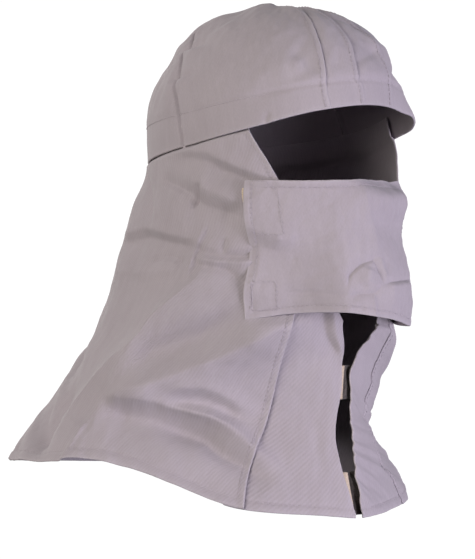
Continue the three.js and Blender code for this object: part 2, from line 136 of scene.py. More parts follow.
# Folds. Each has its rise, its widths to the left and to the right of the way it runs as seen from outside,
# its crest (2 is round, 1 is sharp) and the places that it runs through. A negative rise makes a crease.
FOLD_FADE = 0.3  # a fold dies out over this share of its length at each end
FOLD_REACH = 3.5  # and is nothing beyond this many widths
CAP_FOLDS = [
    (4.0, 11, 11, 2, ((296, 0.0), (318, 0.0), (339, 0.0))),  # the rim stands off the brow
    (1.2, 7, 7, 2, ((-76, 0.0), (-50, 0.0), (-28, 0.0))),
    (-2.4, 3, 3, 1.3, ((126, 0.478), (112.7, 0.502), (107.2, 0.512), (98.3, 0.51), (88, 0.504))),  # pucker
    (2.2, 4, 10, 1.5, ((124, 0.45), (110, 0.478), (94, 0.475))),
    (-1.8, 2.5, 4, 1.3, ((110, 0.437), (122.6, 0.433), (136, 0.42))),
    (-1.8, 2, 3, 1.3, ((112, 0.322), (106.5, 0.331), (100.9, 0.333), (92, 0.331))),
    (1.4, 3, 8, 1.5, ((114, 0.3), (104, 0.31), (95, 0.308))),
    (2.6, 16, 16, 2, ((106, 0.62), (132, 0.6), (160, 0.56))),  # fullness above the back
    (1.2, 10, 10, 2, ((112, 0.27), (134, 0.29), (160, 0.28))),
    (2.0, 5, 5, 2, ((124, 0.52), (140, 0.51), (156, 0.5))),
    (-2.2, 6, 7, 1.8, ((6, 0.74), (-2, 0.66), (-9, 0.61), (-18, 0.47))),  # slack facet above the brow
    (1.8, 7, 6, 1.8, ((-4, 0.37), (-22, 0.41), (-44, 0.41))),
    (-5.5, 9, 9, 2, ((-14, 0.25), (-34, 0.25), (-52, 0.25), (-76, 0.24))),
    (-1.3, 5, 4, 1.6, ((12, 0.215), (-0.1, 0.292), (-17, 0.385))),
    (-1.3, 6, 6, 2, ((62, 0.15), (52, 0.17), (38, 0.22), (27, 0.26))),  # beside the right side seam
    (-1.4, 7, 4, 1.8, ((44, 0.38), (36.1, 0.311), (32.8, 0.256), (28.5, 0.19))),
    (1.2, 7, 9, 2, ((94, 0.69), (82, 0.55), (77, 0.39))),
    (-1.4, 1.6, 2.2, 1.3, ((52.6, 0.06), (53.2, 0.03), (54.2, -0.02))),  # pinch at the rim
    (-1.2, 8, 8, 2, ((150, 0.25), (175, 0.30), (205, 0.27))),  # back
    (1.1, 7, 9, 2, ((140, 0.42), (180, 0.48), (225, 0.43))),
    (-1.2, 6, 6, 2, ((285, 0.2), (305, 0.27), (330, 0.22))),  # left side
    (1.0, 8, 6, 2, ((270, 0.45), (300, 0.5), (325, 0.45))),
]
# Slack folds of the crown, as places in plan
CROWN_FOLDS = [
    (2.6, 15, 5, 3, ((-36, -26), (-6, 6), (23, 39))),  # bump on top
    (-1.6, 8, 10, 2, ((-12, -34), (10, -9), (32, 14))),
    (3.0, 13, 12, 2, ((-55, 8), (-34, 31), (-13, 54))),
]

# Roughness of the cloth: height, seed, pitch, and stretch upwards
CAP_ROUGH = [(0.7, 3, 34, 1.0), (0.26, 4, 11, 1.0)]
CAPE_ROUGH = [(0.9, 11, 46, 1.6), (0.34, 12, 15, 1.3), (0.07, 13, 6, 1.0)]
FLAP_ROUGH = [(0.5, 21, 30, 1.0), (0.22, 22, 10, 1.0), (0.06, 23, 4.5, 1.0)]
RIPPLE_WAVES = 16
RIPPLE_SIZES = (0.7, 1.5)  # least and greatest length of a wave, in pitches

# Horizontal rings of the cape
CAPE_RINGS = columns(
    "z half_width front_y widest_y back_y front_power back_power",
    (-360, 170, -84, 62, 184, 1.4, 2.6),
    (-324, 160, -77, 60, 180, 1.25, 2.7),
    (-288, 127, -72, 50, 165, 1.18, 2.9),
    (-250, 112, -74, 34, 151, 1.35, 2.8),
    (-223, 102, -80, 20, 141, 1.55, 2.6),
    (-190, 94, -86, 11, 131, 1.7, 2.4),
    (-150, 88, -88, 4, 118, 1.78, 2.2),
    (-109, 82, -93, 0, 104, 1.88, 2.15),
)
HEM = columns(
    "angle z",
    (0, -358), (20, -354), (36, -349), (50, -333), (60, -323), (75, -317), (100, -320), (130, -324),
    (180, -333), (225, -346), (262, -350), (298, -350), (315, -355), (330, -356), (345, -357), (360, -358),
)
BODY_EDGE = columns(
    "z angle",
    (-360, 35.6), (-288, 34.2), (-252, 33.2), (-221, 32.6), (-166, 28), (-123, 47), (-89, 60.5), (-60, 68),
)
SEAM_TOP = -166
THROAT = -222
LAP = 4
LEFT_FRONT_DEPTH = 1.0
FRONT_DEPTH = 1.8  # a front panel's face lies this far behind the body's face
SLIT = columns(
    "z right left",
    (-360, 5, 3), (-345, 6.5, 2), (-323, 9.5, 2.5), (-302, 10.5, 5.5),
    (-270, 6, 3), (-252, 7, 4), (-240, 7, 13), (-222, 12, 26),
)
HEM_BAND = 6  # height of the turned hem
HEM_STEP = 1.5  # height of the step at the hem's upper edge
HEM_STAND = 0.5  # the turned hem stands out this far
EDGE_ROLL = 0.6  # height of the rolled edge of the body
EDGE_ROLL_REACH = 2.4
EDGE_STITCH = 4.2  # the body's edge is stitched this far in
EDGE_GROOVE = 0.15
STITCH_GROOVE = 0.4
RIM_CLEAR = 10  # the cape's folds start over this distance below the cap's rim
RIM_FULL = 2.0  # the cape bulges this far just below the rim
RIM_FULL_STEP = (1.0, 2.8)  # the bulge begins between these distances below the rim
RIM_FULL_FROM = 3.5  # it is greatest down to here
RIM_FULL_REACH = 26  # and it dies out over this distance
RIM_IN = 0.8  # the rim is drawn in this far, and the cape inside it by a little more
TUCK_IN = 1.4
TUCK_STEP = (1.9, 0.5)  # it is drawn in between these distances below the rim
TUCK_TOP = (-16, -8)  # and no more between these
UNDER_FLAP_SIDE = (-1, 4)  # the cape is smooth from here to here inside the flap's ends, in degrees
UNDER_FLAP_LOW = (-224, -214)  # and between these heights at the flap's lower and upper edges
UNDER_FLAP_HIGH = (-118, -128)
UNDER_FLAP_SHARE = 0.12  # share of its folds that is left there

# Folds of the right side, which the left side repeats
CAPE_SIDE_FOLDS = [
    (9.5, 30, 8, 1.0, (
        (75, -160), (73.5, -172), (72, -182), (72, -191), (75, -198), (80.5, -209), (86.5, -221),
        (89, -235), (91, -247.5), (93.5, -260), (95.5, -274), (96.5, -284), (96.5, -292), (96, -314),
    )),  # along the shoulder
    (1.6, 2, 5, 1.2, ((75.3, -150), (75.9, -162), (77.3, -171), (77.7, -179), (77.1, -196))),  # below ear
    (-1.2, 4, 1.5, 1.3, ((73.4, -152), (74.0, -162), (75.4, -171), (75.8, -179), (75.2, -194))),
    (2.4, 14, 3.5, 1.5, (
        (138, -162), (120, -158.5), (111.5, -156), (102.7, -157.5), (95.7, -160), (90, -162), (80, -164),
        (70, -167),
    )),  # shelf
    (-2.8, 3.5, 7, 1.4, (
        (138, -168), (116.6, -165), (109.1, -162.5), (101, -164), (95, -166), (88.1, -168.5),
        (78.3, -170.5), (70, -173),
    )),
    (1.8, 12, 5, 1.5, ((130, -188), (118, -187.6), (104.5, -187.4), (93.9, -187.4), (78, -188))),
    (1.6, 8, 4, 1.5, ((82, -165), (73.3, -169), (66.7, -171.5), (59.9, -171.5), (42, -171))),  # to the flap
    (-2.4, 4, 2.2, 1.4, ((80, -171), (71.5, -174.5), (65.5, -176.5), (59.5, -177), (42, -177))),
    (2.0, 2.2, 3, 1.4, ((79, -176), (70.1, -179), (64.7, -180), (59.1, -180.5), (42, -180.5))),
    (-3.0, 3.5, 4, 1.4, ((80, -182), (66.7, -184.5), (61.9, -186), (57, -190.5), (52, -195.5), (46, -202))),
    (-1.8, 1.8, 2.5, 1.3, ((64.2, -162), (64, -169), (63.6, -176))),
    (1.4, 6, 4, 1.7, ((98, -96), (88.3, -102), (81.3, -104), (74.1, -108.3), (64, -113))),  # cheek tuck
    (-2.0, 4, 8, 1.6, ((102, -104), (90.3, -108.3), (81.7, -111), (75, -114), (66, -118))),
    (2.2, 8, 3.5, 1.5, ((78, -107), (67.9, -113.1), (61.1, -116.8), (56.1, -120), (42, -129))),
    (-3.2, 3.5, 9, 1.5, ((84, -114), (75.3, -117), (67.3, -120), (60.5, -123.7), (53.7, -128), (42, -136))),
    (-2.6, 5, 2.2, 1.3, ((108, -122), (96.5, -128), (86, -135.5))),  # behind the cheek
    (-3.8, 1.5, 4, 1.15, ((81.7, -124), (84, -132.7), (87.2, -144))),
    (3.0, 10, 6, 1.6, (
        (94, -120), (86.5, -124.7), (80.7, -128.5), (73.3, -132.2), (65.7, -136.4), (54, -143),
    )),
    (-4.2, 6, 16, 1.6, (
        (98, -133), (89.9, -136.4), (81.7, -140), (73.1, -144), (65.9, -147), (54, -152),
    )),
    (-2.0, 3, 2, 1.3, ((102, -183), (95.7, -179), (92.9, -176.8), (89, -178.5), (80, -183))),
    (-2.6, 2, 6, 1.4, ((133, -104), (129.6, -114.6), (120.8, -124.7), (111.7, -139.6), (104, -160))),
    (-6.5, 5, 9, 1.6, ((106, -266), (105.5, -284), (104.5, -293), (103, -302), (100, -318))),  # dent
    (-8.0, 15, 12, 1.9, ((44, -214), (55, -226), (66, -236), (76.3, -243), (88, -248))),  # hollow
    (13.0, 20, 13, 1.3, (
        (20, -208), (34, -220.3), (42, -229.5), (48.7, -238.5), (56.5, -249.5), (66.7, -261), (79.5, -271),
        (90, -278),
    )),  # ridge down from the flap, and the swags below it
    (4.0, 9, 6, 1.7, (
        (92, -274), (83.5, -275), (72, -274.5), (65, -276), (58.7, -280), (48.9, -287), (41.8, -297),
        (36.2, -307), (31, -316),
    )),
    (-4.5, 6, 10, 1.7, (
        (88, -284), (76.7, -287), (65.5, -290), (56.5, -295), (47.9, -301), (42, -311), (36.4, -320),
        (32, -328),
    )),
    (4.0, 7, 6, 1.7, ((66, -277), (58, -281.5), (48.9, -288), (41.8, -298), (36.2, -308), (27, -324))),
    (-4.5, 6, 8, 1.7, ((64, -291), (56, -296), (47.9, -302), (42, -312), (36.4, -321), (28, -336))),
    (3.2, 7, 6, 1.7, ((66, -266), (57.3, -265), (51.9, -265.5), (45.7, -272.5), (41.6, -280), (36, -290))),
    (-2.8, 6, 4, 1.7, ((63, -276), (54.7, -277.5), (48.3, -280.5), (42.6, -287.5), (37, -297))),
]
# Folds of the back, and fullness of one side only
CAPE_BACK_FOLDS = [
    (3.5, 18, 20, 2, ((142, -112), (134, -140), (130, -170), (126, -205))),
    (-3.0, 14, 14, 2, ((134, -216), (134, -243), (132, -266))),
    (-5.0, 34, 34, 2, ((135, -226), (135, -246), (134, -264))),
    (3.2, 14, 16, 2, ((132, -258), (130, -285), (126, -318))),
    (5.0, 14, 18, 1.8, ((166, -150), (160, -190), (152, -250), (150, -318))),
    (-3.0, 9, 9, 2, ((176, -160), (174, -220), (171, -300))),
    (4.0, 12, 16, 1.8, ((190, -150), (192, -210), (190, -310))),
    (5.0, 18, 14, 1.8, ((203, -160), (207, -210), (213, -260), (216, -318))),
    (-2.6, 9, 10, 2, ((222, -180), (228, -240), (236, -300))),
    (-2.4, 8, 5, 1.5, ((140, -142), (160, -147), (185, -143), (205, -146))),
    (3.2, 20, 20, 2, ((308, -200), (308, -235), (310, -270), (314, -292))),
    (-2.0, 16, 16, 2, ((312, -272), (315, -295), (317, -340))),
]
# The left side's copies are moved and softened by this much
LEFT_TURN = 3
LEFT_DROP = -5
LEFT_SHARE = 0.6

FRONT_FOLDS = [
    (-3.6, 5, 9, 1.7, ((22, -208), (19.5, -224), (16.5, -236), (9, -250))),  # below the flap
    (2.4, 4, 5, 1.6, ((17.5, -208), (15.5, -222), (12.5, -236), (6, -250))),
    (-1.0, 8, 8, 2, ((26, -270), (20, -300), (16, -330))),
    (-1.6, 7, 7, 1.8, ((344, -236), (346, -262), (338, -284))),
    (1.2, 6, 8, 2, ((336, -250), (333, -290), (330, -330))),
]

# Face flap
FLAP_RING = {"half_width": 80, "widest_y": 0, "back_y": 90, "front_power": 2, "back_power": 2}
FLAP_REACH = columns("z front_y", (-226, -107), (-200, -109), (-157, -95), (-136, -99), (-122, -87))
FLAP_PLAIN = columns("z front_y", (-226, -107), (-122, -94))  # the flatter right side
FLAP_EDGES = columns(
    "angle top bottom",
    (-60, -122, -219), (-30, -123, -225), (0, -124, -219), (30, -125, -214.5), (60, -125, -222),
)
FLAP_END = columns("z angle", (-226, 48.2), (-200, 51.8), (-172, 53), (-145, 57.3), (-122, 60))
FLAP_SEAT = {"right": (20, 37), "left": (26, 44)}
FLAP_STAND = CLOTH + TAPE + 2 * GAP + 0.5
FLAP_RADIUS = 92  # to unroll the flap's angles into millimetres
FLAP_PLAIN_FROM = (-8, 24)  # angles between which the right side becomes flatter
FLAP_HEM = 4.5
FLAP_HEM_STAND = 0.25
FLAP_HEM_STEP = 0.8
FLAP_GROOVE = 0.3
FLAP_GROOVE_REACH = 1.0
SIDE_DROOP = 1.6  # the side edges lie closer to the cape between the pads
DROOP_REACH = 6
DROOP_LOW = (-196, -190)
DROOP_HIGH = (-166, -172)
# A bulge over the left cheek
LEFT_BULGE = {"rise": 2.2, "z": -140, "z_reach": 12, "angle": -32, "angle_reach": 18}
LEFT_TOP_IN = {"depth": 5, "z": (-134, -121), "angle": (-10, -32)}  # the upper edge comes in above it
BOX_CUT_SLOPE = 1.6  # height of a box's cut corner for each degree of it
FLAP_FOLDS = [
    (3.8, 16, 20, 1.1, (
        (8.5, -112), (8.2, -131), (5.5, -146), (2.2, -160), (2.5, -172), (4, -188),
    )),  # over the nose
    (-2.0, 1.2, 3.2, 1.15, (
        (0, -177), (7.5, -180), (12, -182), (16.2, -186.3), (19.1, -191), (21.5, -202),
    )),  # below it
    (2.0, 7, 6, 1.8, ((8, -183), (10, -190), (12, -198))),
    (-1.7, 3, 1.5, 1.15, ((6, -175), (3.5, -186), (1, -197))),
    (1.2, 2, 3, 1.3, ((1.5, -177), (-1.5, -194))),
    (-2.0, 3.5, 1.5, 1.15, ((5, -197.5), (-3.5, -194.3), (-10.7, -193.3), (-30, -192))),
    (1.0, 2, 6, 1.5, ((0, -198), (-12, -196.5), (-28, -195))),
    (-1.5, 1.5, 3, 1.2, ((22, -204.5), (16.4, -202.4), (11, -201.8), (6.3, -200.5), (1.5, -195))),
    (1.2, 1.5, 3.5, 1.3, ((8.2, -200), (7.6, -210), (7.4, -224))),
    (3.6, 14, 8, 1.7, ((70, -148), (56, -155.5), (50, -158.5), (45, -161.5), (40, -165.5), (32, -173))),
    (-2.6, 8, 14, 1.7, ((70, -158), (56, -166), (49, -170), (43, -174.5), (38, -179), (31, -185))),
    (-0.8, 2.5, 3, 1.3, ((40, -201), (31, -201), (24.6, -202.8), (15, -206))),
    (-2.0, 6, 5, 1.6, ((-57, -160), (-42, -166), (-32, -175))),  # left cheek
    (-1.4, 5, 5, 1.8, ((-50, -196), (-36, -201), (-22, -199))),
]

# Stitched boxes over the pads: degrees in from the flap's end to the outer and inner sides, heights of the
# top and the bottom, and the cut of the inner top corner in degrees
FLAP_BOXES = [(2.6, 14.0, -125.5, -162, 5), (2.0, 11.0, -194, -213, 0)]
# Pads: name, degrees in from the flap's end at the top and at the bottom and on the inner side, and heights
PADS = [
    ("flap_pad_upper", -1.4, 1.5, 11, -130, -164),
    ("flap_pad_lower", 2, 2, 9, -197, -213),
]
PAD_CLEAR = 0.3  # least gap between a pad and the flap
# Tapes: how far each half runs to the right, from and to, heights, and the panel's wall in the part there
TAPES = [
    {"name": "neck_tape", "hook": (3, 19), "loop": (-15, 13), "top": -253, "bottom": -276, "wall": 1.2},
    {"name": "hem_tape", "hook": (3, 17), "loop": (-14, 12), "top": -327, "bottom": -356, "wall": 2.2},
]
LOOP_BEND = (-8, -1)  # the loop half goes back behind the hook half here
LEAST_FACING = 0.5  # least share of the cape's normal that faces forwards, for a tape's depth

# Grids of the cloth pieces: columns and rows
BODY_GRID = (420, 186)
BODY_DENSE = (0.37, 0.62)  # the right side, which has the finer folds, has more of the columns
FRONT_GRID = (70, 150)
FLAP_GRID = (300, 180)
PAD_GRID = (20, 30)
TAPE_GRID = (40, 30)
END_STEP = 0.4  # width of a grid's first and last steps, as a share of an even step
SETTLE_ROUNDS = 8  # an edge that depends on both angle and height is found in this many rounds
EDGE_GUESS = 60.0  # starting from this angle
NORMAL_STEP = 0.4  # normals are measured over this many degrees or millimetres
UP_STEP = 0.005  # or this share of the way up the cap
UP_RANGE = (0.01, 0.98)  # away from the rim and the apex

# Stitches
STITCH_LENGTH = 2.4
STITCH_GAP = 1.0
THREAD = 0.27
THREAD_SIDES = 5
STITCH_PROFILE = columns("along out", (0, -0.25), (0.2, 0.18), (0.8, 0.18), (1, -0.25))
LAP_STITCH = 2.0  # a lapped edge of the cap is stitched this far in
LINE_STEP = 0.3  # a stitch's normal is measured over this many degrees
LINE_UP_STEP = 0.004  # and this share of the way up the cap
LINE_POINTS = 500
LONG_LINE_POINTS = 900
HEM_LINE_POINTS = 1600
# Stitch lines: from, to and number of places
CAP_HEM_LINE = (0, 1, 30)
LAP_LINE = (0.004, 0.9, 40)
BODY_HEM_LINE = (38, 322, 90)
FRONT_HEM_LINES = {"right": (11, 33, 90), "left": (327, 351, 90)}
BODY_EDGE_LINE = (-92, -352, 80)
EDGE_LINE_CLEAR = 2  # that line stops this far above the hem
FLAP_BORDER_LINE = (-52, 52, 60)
FLAP_SIDE_LINE = (-129, -213, 40)

# Colours, linear
COTTON_DARK = (0.235, 0.200, 0.212)
COTTON_LIGHT = (0.335, 0.292, 0.308)
COTTON_WORN = (0.400, 0.355, 0.372)
THREAD_DARK = (0.250, 0.215, 0.228)
THREAD_LIGHT = (0.370, 0.325, 0.345)
HOOK_DARK = (0.36, 0.27, 0.19)
HOOK_LIGHT = (0.56, 0.45, 0.34)
# Painted shade: the loop half's colours are darkened to the shade that it lies in within the slit, far below
# the beige of the hook half
LOOP_PAINTED_SHADE_DARK = (0.035, 0.028, 0.025)
LOOP_PAINTED_SHADE_LIGHT = (0.085, 0.066, 0.056)
FLOOR_PALE = (0.93, 0.93, 0.93)
FLOOR_SHADE = 0.985  # the floor's darker patches

# Weave
WORN_REACH = 1.6  # the cloth is paler this near its edges
UPRIGHT_GRAIN = 1.9  # millimetres of cloth to a degree, where the weave stands upright
TWILL_PITCH = 0.0023  # metres from one diagonal line of the weave to the next
WAVE_UNIT = 2 * math.pi / 20  # a wave texture of scale 1 has this pitch

# Camera
IMAGE_WIDTH = 475
IMAGE_HEIGHT = 559
MM_PER_PIXEL = 0.72
AXIS_PIXEL = 280  # the head's axis in the image
TOP_PIXEL = 5  # the height of TOP_Z in the image
TOP_Z = 5
CAMERA_TURN = -42
CAMERA_DISTANCE = 1700
SENSOR = 36

# Lights: name, metres to the camera's right, towards the camera and up, size, power and colour
LIGHTS = [
    ("left_light", -1.27, 1.52, 0.36, 1.1, 43, (1.0, 0.98, 0.94)),
    ("right_light", 1.73, 1.0, -0.45, 1.5, 72, (0.85, 0.84, 1.0)),
    ("back_light", -1.0, -1.9, 0.5, 1.5, 26, (1.0, 0.98, 0.95)),
]
SKY_HIGH = (0.46, 0.455, 0.485)  # light from above, from the sides and from below
SKY_LEVEL = (0.02, 0.02, 0.02)
SKY_LOW = (0.01, 0.01, 0.01)

# Floor and backdrop
FLOOR_Z = -620
FLOOR_RADIUS = 1700
FLOOR_SIDES = 64
BACKDROP_RADIUS = 9000
BACKDROP_GLOW = 1.05
BACKDROP_RINGS = 25
BACKDROP_SIDES = 48


def mix(a, b, share):
    return a + (b - a) * share


def rise(low, high, x):
    """Rises smoothly from 0 at low to 1 at high."""
    t = np.clip((x - low) / (high - low), 0, 1)
    return t * t * (3 - 2 * t)


def bell(x, width):
    return np.exp(-((x / width) ** 2))


def read(table, key, column, at):
    """Reads a column at values of the key column, on a smooth curve through the rows."""
    keys, values = table[key], table[column]
    slopes = np.zeros(len(keys))
    slopes[1:-1] = (values[2:] - values[:-2]) / (keys[2:] - keys[:-2])
    at = np.clip(at, keys[0], keys[-1])
    i = np.clip(np.searchsorted(keys, at) - 1, 0, len(keys) - 2)
    span = keys[i + 1] - keys[i]
    t = (at - keys[i]) / span
    return (
        (2 * t**3 - 3 * t**2 + 1) * values[i]
        + (t**3 - 2 * t**2 + t) * span * slopes[i]
        + (3 * t**2 - 2 * t**3) * values[i + 1]
        + (t**3 - t**2) * span * slopes[i + 1]
    )


def in_turn(angle):
    return np.mod(angle, 360)


def on_right(angle):
    """The two sides share one table, so an angle is folded onto the right side."""
    return 180 - np.abs(180 - in_turn(angle))


def rim_z(angle):
    return read(RIM, "angle", "z", on_right(angle))


def hem_z(angle):
    return read(HEM, "angle", "z", in_turn(angle))


def body_edge(z):
    return read(BODY_EDGE, "z", "angle", z)


def normal_of(surface, a, b, step_a, step_b):
    """Outward normals of a surface that is read by two coordinates."""
    around = surface(a + step_a, b) - surface(a - step_a, b)
    upward = surface(a, b + step_b) - surface(a, b - step_b)
    normal = np.cross(upward, around)
    return normal / np.linalg.norm(normal, axis=-1, keepdims=True)


def ring_point(ring, angle, z, scale=1.0):
    """Points of horizontal rings, scaled about the head's axis."""
    across = np.sin(np.radians(angle))
    ahead = np.cos(np.radians(angle))
    front = ahead > 0
    power = 2 / np.where(front, ring["front_power"], ring["back_power"])
    reach = np.where(front, ring["front_y"], ring["back_y"]) - ring["widest_y"]
    x = -ring["half_width"] * np.sign(across) * np.abs(across) ** power
    y = ring["widest_y"] + reach * np.abs(ahead) ** power
    return np.stack([x * scale, y * scale, z + 0 * x], -1)


# Folds and slack


def smooth_path(places, steps=6):
    """More points on a smooth curve through a fold's places."""
    places = np.array(places, float)
    table = {"at": np.arange(len(places), dtype=float), "x": places[:, 0], "y": places[:, 1]}
    at = np.linspace(0, len(places) - 1, (len(places) - 1) * steps + 1)
    return read(table, "at", "x", at), read(table, "at", "y", at)


def nearest_on_path(path_x, path_y, x, y):
    """Distance to a path, the side of it (positive to the left) and the share of the way along it."""
    lengths = np.hypot(np.diff(path_x), np.diff(path_y))
    starts = np.concatenate([[0], np.cumsum(lengths)])
    best = np.full(x.shape, np.inf)
    side = np.zeros(x.shape)
    along = np.zeros(x.shape)
    for i, length in enumerate(lengths):
        ux, uy = (path_x[i + 1] - path_x[i]) / length, (path_y[i + 1] - path_y[i]) / length
        ax, ay = x - path_x[i], y - path_y[i]
        t = np.clip(ax * ux + ay * uy, 0, length)
        away = np.hypot(ax - t * ux, ay - t * uy)
        nearer = away < best
        best = np.where(nearer, away, best)
        side = np.where(nearer, ux * ay - uy * ax, side)
        along = np.where(nearer, starts[i] + t, along)
    return best, side, along / starts[-1]


def fold_height(folds, chart, a, b):
    """Sum of a table's folds at places of the cloth, which the chart unrolls. Each dies out at both ends."""
    x, y = chart(a, b)
    total = np.zeros(np.shape(x))
    for height, left, right, crest, places in folds:
        path_x, path_y = chart(*smooth_path(places))
        reach = FOLD_REACH * max(left, right)
        close = (x > path_x.min() - reach) & (x < path_x.max() + reach)
        close &= (y > path_y.min() - reach) & (y < path_y.max() + reach)
        away, side, share = nearest_on_path(path_x, path_y, x[close], y[close])
        width = np.where(side > 0, left, right)
        ends = rise(0, FOLD_FADE, share) * rise(0, FOLD_FADE, 1 - share)
        total[close] += height * ends * np.exp(-((away / width) ** crest))
    return total


def ripples(seed, pitch, x, y, stretch):
    """A smooth random relief of about -1 to 1, with bumps one pitch apart, drawn out upwards by stretch."""
    draw = np.random.default_rng(seed)
    turns = draw.uniform(0, 2 * math.pi, RIPPLE_WAVES)
    phases = draw.uniform(0, 2 * math.pi, RIPPLE_WAVES)
    sizes = draw.uniform(*RIPPLE_SIZES, RIPPLE_WAVES)
    total = np.zeros(np.shape(x))
    for turn, phase, size in zip(turns, phases, sizes):
        place = x * math.cos(turn) + y * math.sin(turn) / stretch
        total += np.cos(place * 2 * math.pi / (pitch * size) + phase)
    return total / math.sqrt(2 * RIPPLE_WAVES)


def roughness(table, x, y):
    return sum(height * ripples(seed, pitch, x, y, stretch) for height, seed, pitch, stretch in table)


# Cap


def dome_scale(z, angle):
    """Scale of the cap's rings at a height: 1 at the dome's base, 0 at its top."""
    up = np.clip((z - DOME_BASE) / (CROWN_TOP - DOME_BASE), 0, 1)
    power = mix(DOME_POWER_BACK, DOME_POWER_FRONT, (1 + np.cos(np.radians(angle))) / 2)
    return (1 - up**power) ** (1 / power)


def cap_z(angle, up):
    return mix(rim_z(angle), CROWN_TOP, np.sin(up * math.pi / 2))


def cap_smooth(angle, up):
    z = cap_z(angle, up)
    return ring_point(CAP_RING, angle, z, dome_scale(z, angle))


def cap_chart(angle, up):
    return -np.radians(in_turn(angle + CHART_CUT)) * CAP_RING["half_width"], up * CAP_SLOPE


def cap_hem_relief(angle, up):
    """The stitched hem: a band, a groove at the stitches and the crown that bulges above them."""
    side = on_right(angle)
    above = up * CAP_SLOPE - CAP_HEM
    band = CAP_BAND * rise(*CAP_BAND_STEP, above)
    groove = CAP_GROOVE * bell(above, GROOVE_REACH)
    higher = np.clip(above, 0, None) / CAP_BULGE_UP
    bulge = CAP_BULGE * higher * np.exp(1 - higher)
    rim = RIM_IN * rise(RIM_BAND, 0, up * CAP_SLOPE) * rise(*RIM_SIDES, side)
    return (band - groove + bulge) * mix(1, PLAIN_HEM_SHARE, rise(*PLAIN_HEM, side)) - rim


def cap_relief(angle, up):
    """How far the cloth stands out from the smooth dome, apart from the seams."""
    plan = cap_smooth(angle, up)
    below_apex = rise(0, APEX_CLEAR, 1 - up)
    folds = fold_height(CAP_FOLDS, cap_chart, angle, up) * below_apex
    slack = fold_height(CROWN_FOLDS, lambda x, y: (x, y), plan[..., 0], plan[..., 1]) * rise(*SLACK_FROM, up)
    rough = roughness(CAP_ROUGH, *cap_chart(angle, up)) * rise(*ROUGH_FROM, up) * below_apex
    return folds + slack + rough + cap_hem_relief(angle, up)


def cap_reach(angle, up):
    """Millimetres to a radian round the cap."""
    return CAP_RING["half_width"] * np.maximum(LEAST_SCALE, dome_scale(cap_z(angle, up), angle))


class CapPanel:
    """One panel of the cap between two seams, read by angle and by share of the way up."""

    def __init__(self, low, high):
        self.low_lapped, self.low_size, self.low = CAP_SEAMS[low]
        self.high_lapped, self.high_size, self.high = CAP_SEAMS[high]
        self.turn = 360 if self.high["angle"][0] < self.low["angle"][0] else 0

    def low_angle(self, up):
        return read(self.low, "up", "angle", up)

    def high_angle(self, up):
        return read(self.high, "up", "angle", up) + self.turn

    def chart(self, across, down):
        up = (1 - down) * CROWN_EYE
        low, high = self.low_angle(up), self.high_angle(up)
        to_degrees = np.degrees(1 / cap_reach(low, up))
        most = (high - low) / 4
        start = np.where(self.low_lapped, -LAP_OVER, GAP / 2) * to_degrees
        end = np.where(self.high_lapped, LAP_UNDER, -GAP / 2) * to_degrees
        return mix(low + np.clip(start, -most, most), high + np.clip(end, -most, most), across), up

    def seam_relief(self, angle, up):
        """The swell between the seams, the lapped edge on the low side and the dip on the high side."""
        reach = np.radians(1) * cap_reach(angle, up)
        from_low = (angle - self.low_angle(up)) * reach
        to_high = (self.high_angle(up) - angle) * reach
        above_hem = rise(CAP_HEM - SEAM_REACH, CAP_HEM + SEAM_REACH, up * CAP_SLOPE)
        swell = 1 - bell(np.clip(to_high, 0, None), SEAM_REACH)
        if self.low_lapped:
            edge = self.low_size * bell(np.clip(from_low - LAP_FLAT, 0, None), LAP_FALL)
        else:
            swell = swell - bell(np.clip(from_low, 0, None), SEAM_REACH)
            edge = -self.low_size * bell(np.clip(from_low, 0, None), SEAM_GROOVE_REACH)
        if self.high_lapped:
            edge = edge - LAP_SINK * rise(*LAP_SINK_STEP, to_high)
        else:
            edge = edge - self.high_size * bell(np.clip(to_high, 0, None), SEAM_GROOVE_REACH)
        return CAP_PUFF * swell * above_hem + edge * rise(*SEAM_FADE, 1 - up)

    def surface(self, angle, up):
        out = normal_of(cap_smooth, angle, np.clip(up, *UP_RANGE), NORMAL_STEP, UP_STEP)
        height = cap_relief(angle, up) + self.seam_relief(angle, up)
        return cap_smooth(angle, up) + out * height[..., None]


# Cape


def cape_ring(z):
    return {name: read(CAPE_RINGS, "z", name, z) for name in CAPE_RINGS if name != "z"}


def cape_smooth(angle, z):
    return ring_point(cape_ring(z), angle, z, dome_scale(z, angle))


def cape_chart(angle, z):
    return -np.radians(in_turn(angle)) * read(CAPE_RINGS, "z", "half_width", z), z


def left_side(fold):
    height, left, right, crest, places = fold
    moved = tuple((360 - angle - LEFT_TURN, z + LEFT_DROP) for angle, z in places)
    return height * LEFT_SHARE, right, left, crest, moved


CAPE_FOLDS = CAPE_SIDE_FOLDS + CAPE_BACK_FOLDS + [left_side(fold) for fold in CAPE_SIDE_FOLDS]


def cape_relief(angle, z):
    side = on_right(angle)
    below_rim = rim_z(angle) - z
    folds = fold_height(CAPE_FOLDS, cape_chart, angle, z) + roughness(CAPE_ROUGH, *cape_chart(angle, z))
    beside_end = rise(*UNDER_FLAP_SIDE, flap_end(z) - side)
    under_flap = beside_end * rise(*UNDER_FLAP_LOW, z) * rise(*UNDER_FLAP_HIGH, z)
    full = RIM_FULL * rise(*RIM_FULL_STEP, below_rim)
    full = full * bell(np.clip(below_rim - RIM_FULL_FROM, 0, None), RIM_FULL_REACH)
    tucked = TUCK_IN * rise(*TUCK_STEP, below_rim) * rise(*TUCK_TOP, below_rim)
    at_rim = (full - tucked) * rise(*RIM_SIDES, side)
    return folds * mix(1, UNDER_FLAP_SHARE, under_flap) * rise(0, RIM_CLEAR, below_rim) + at_rim


def cape_normal(angle, z):
    return normal_of(cape_smooth, angle, z, NORMAL_STEP, NORMAL_STEP)


def off_cape(angle, z, distance):
    """The smooth cape, moved outwards by a distance."""
    return cape_smooth(angle, z) + cape_normal(angle, z) * np.asarray(distance)[..., None]


def cape(angle, z, distance=0):
    """The folded cape, moved outwards by a distance."""
    return off_cape(angle, z, cape_relief(angle, z) + distance)


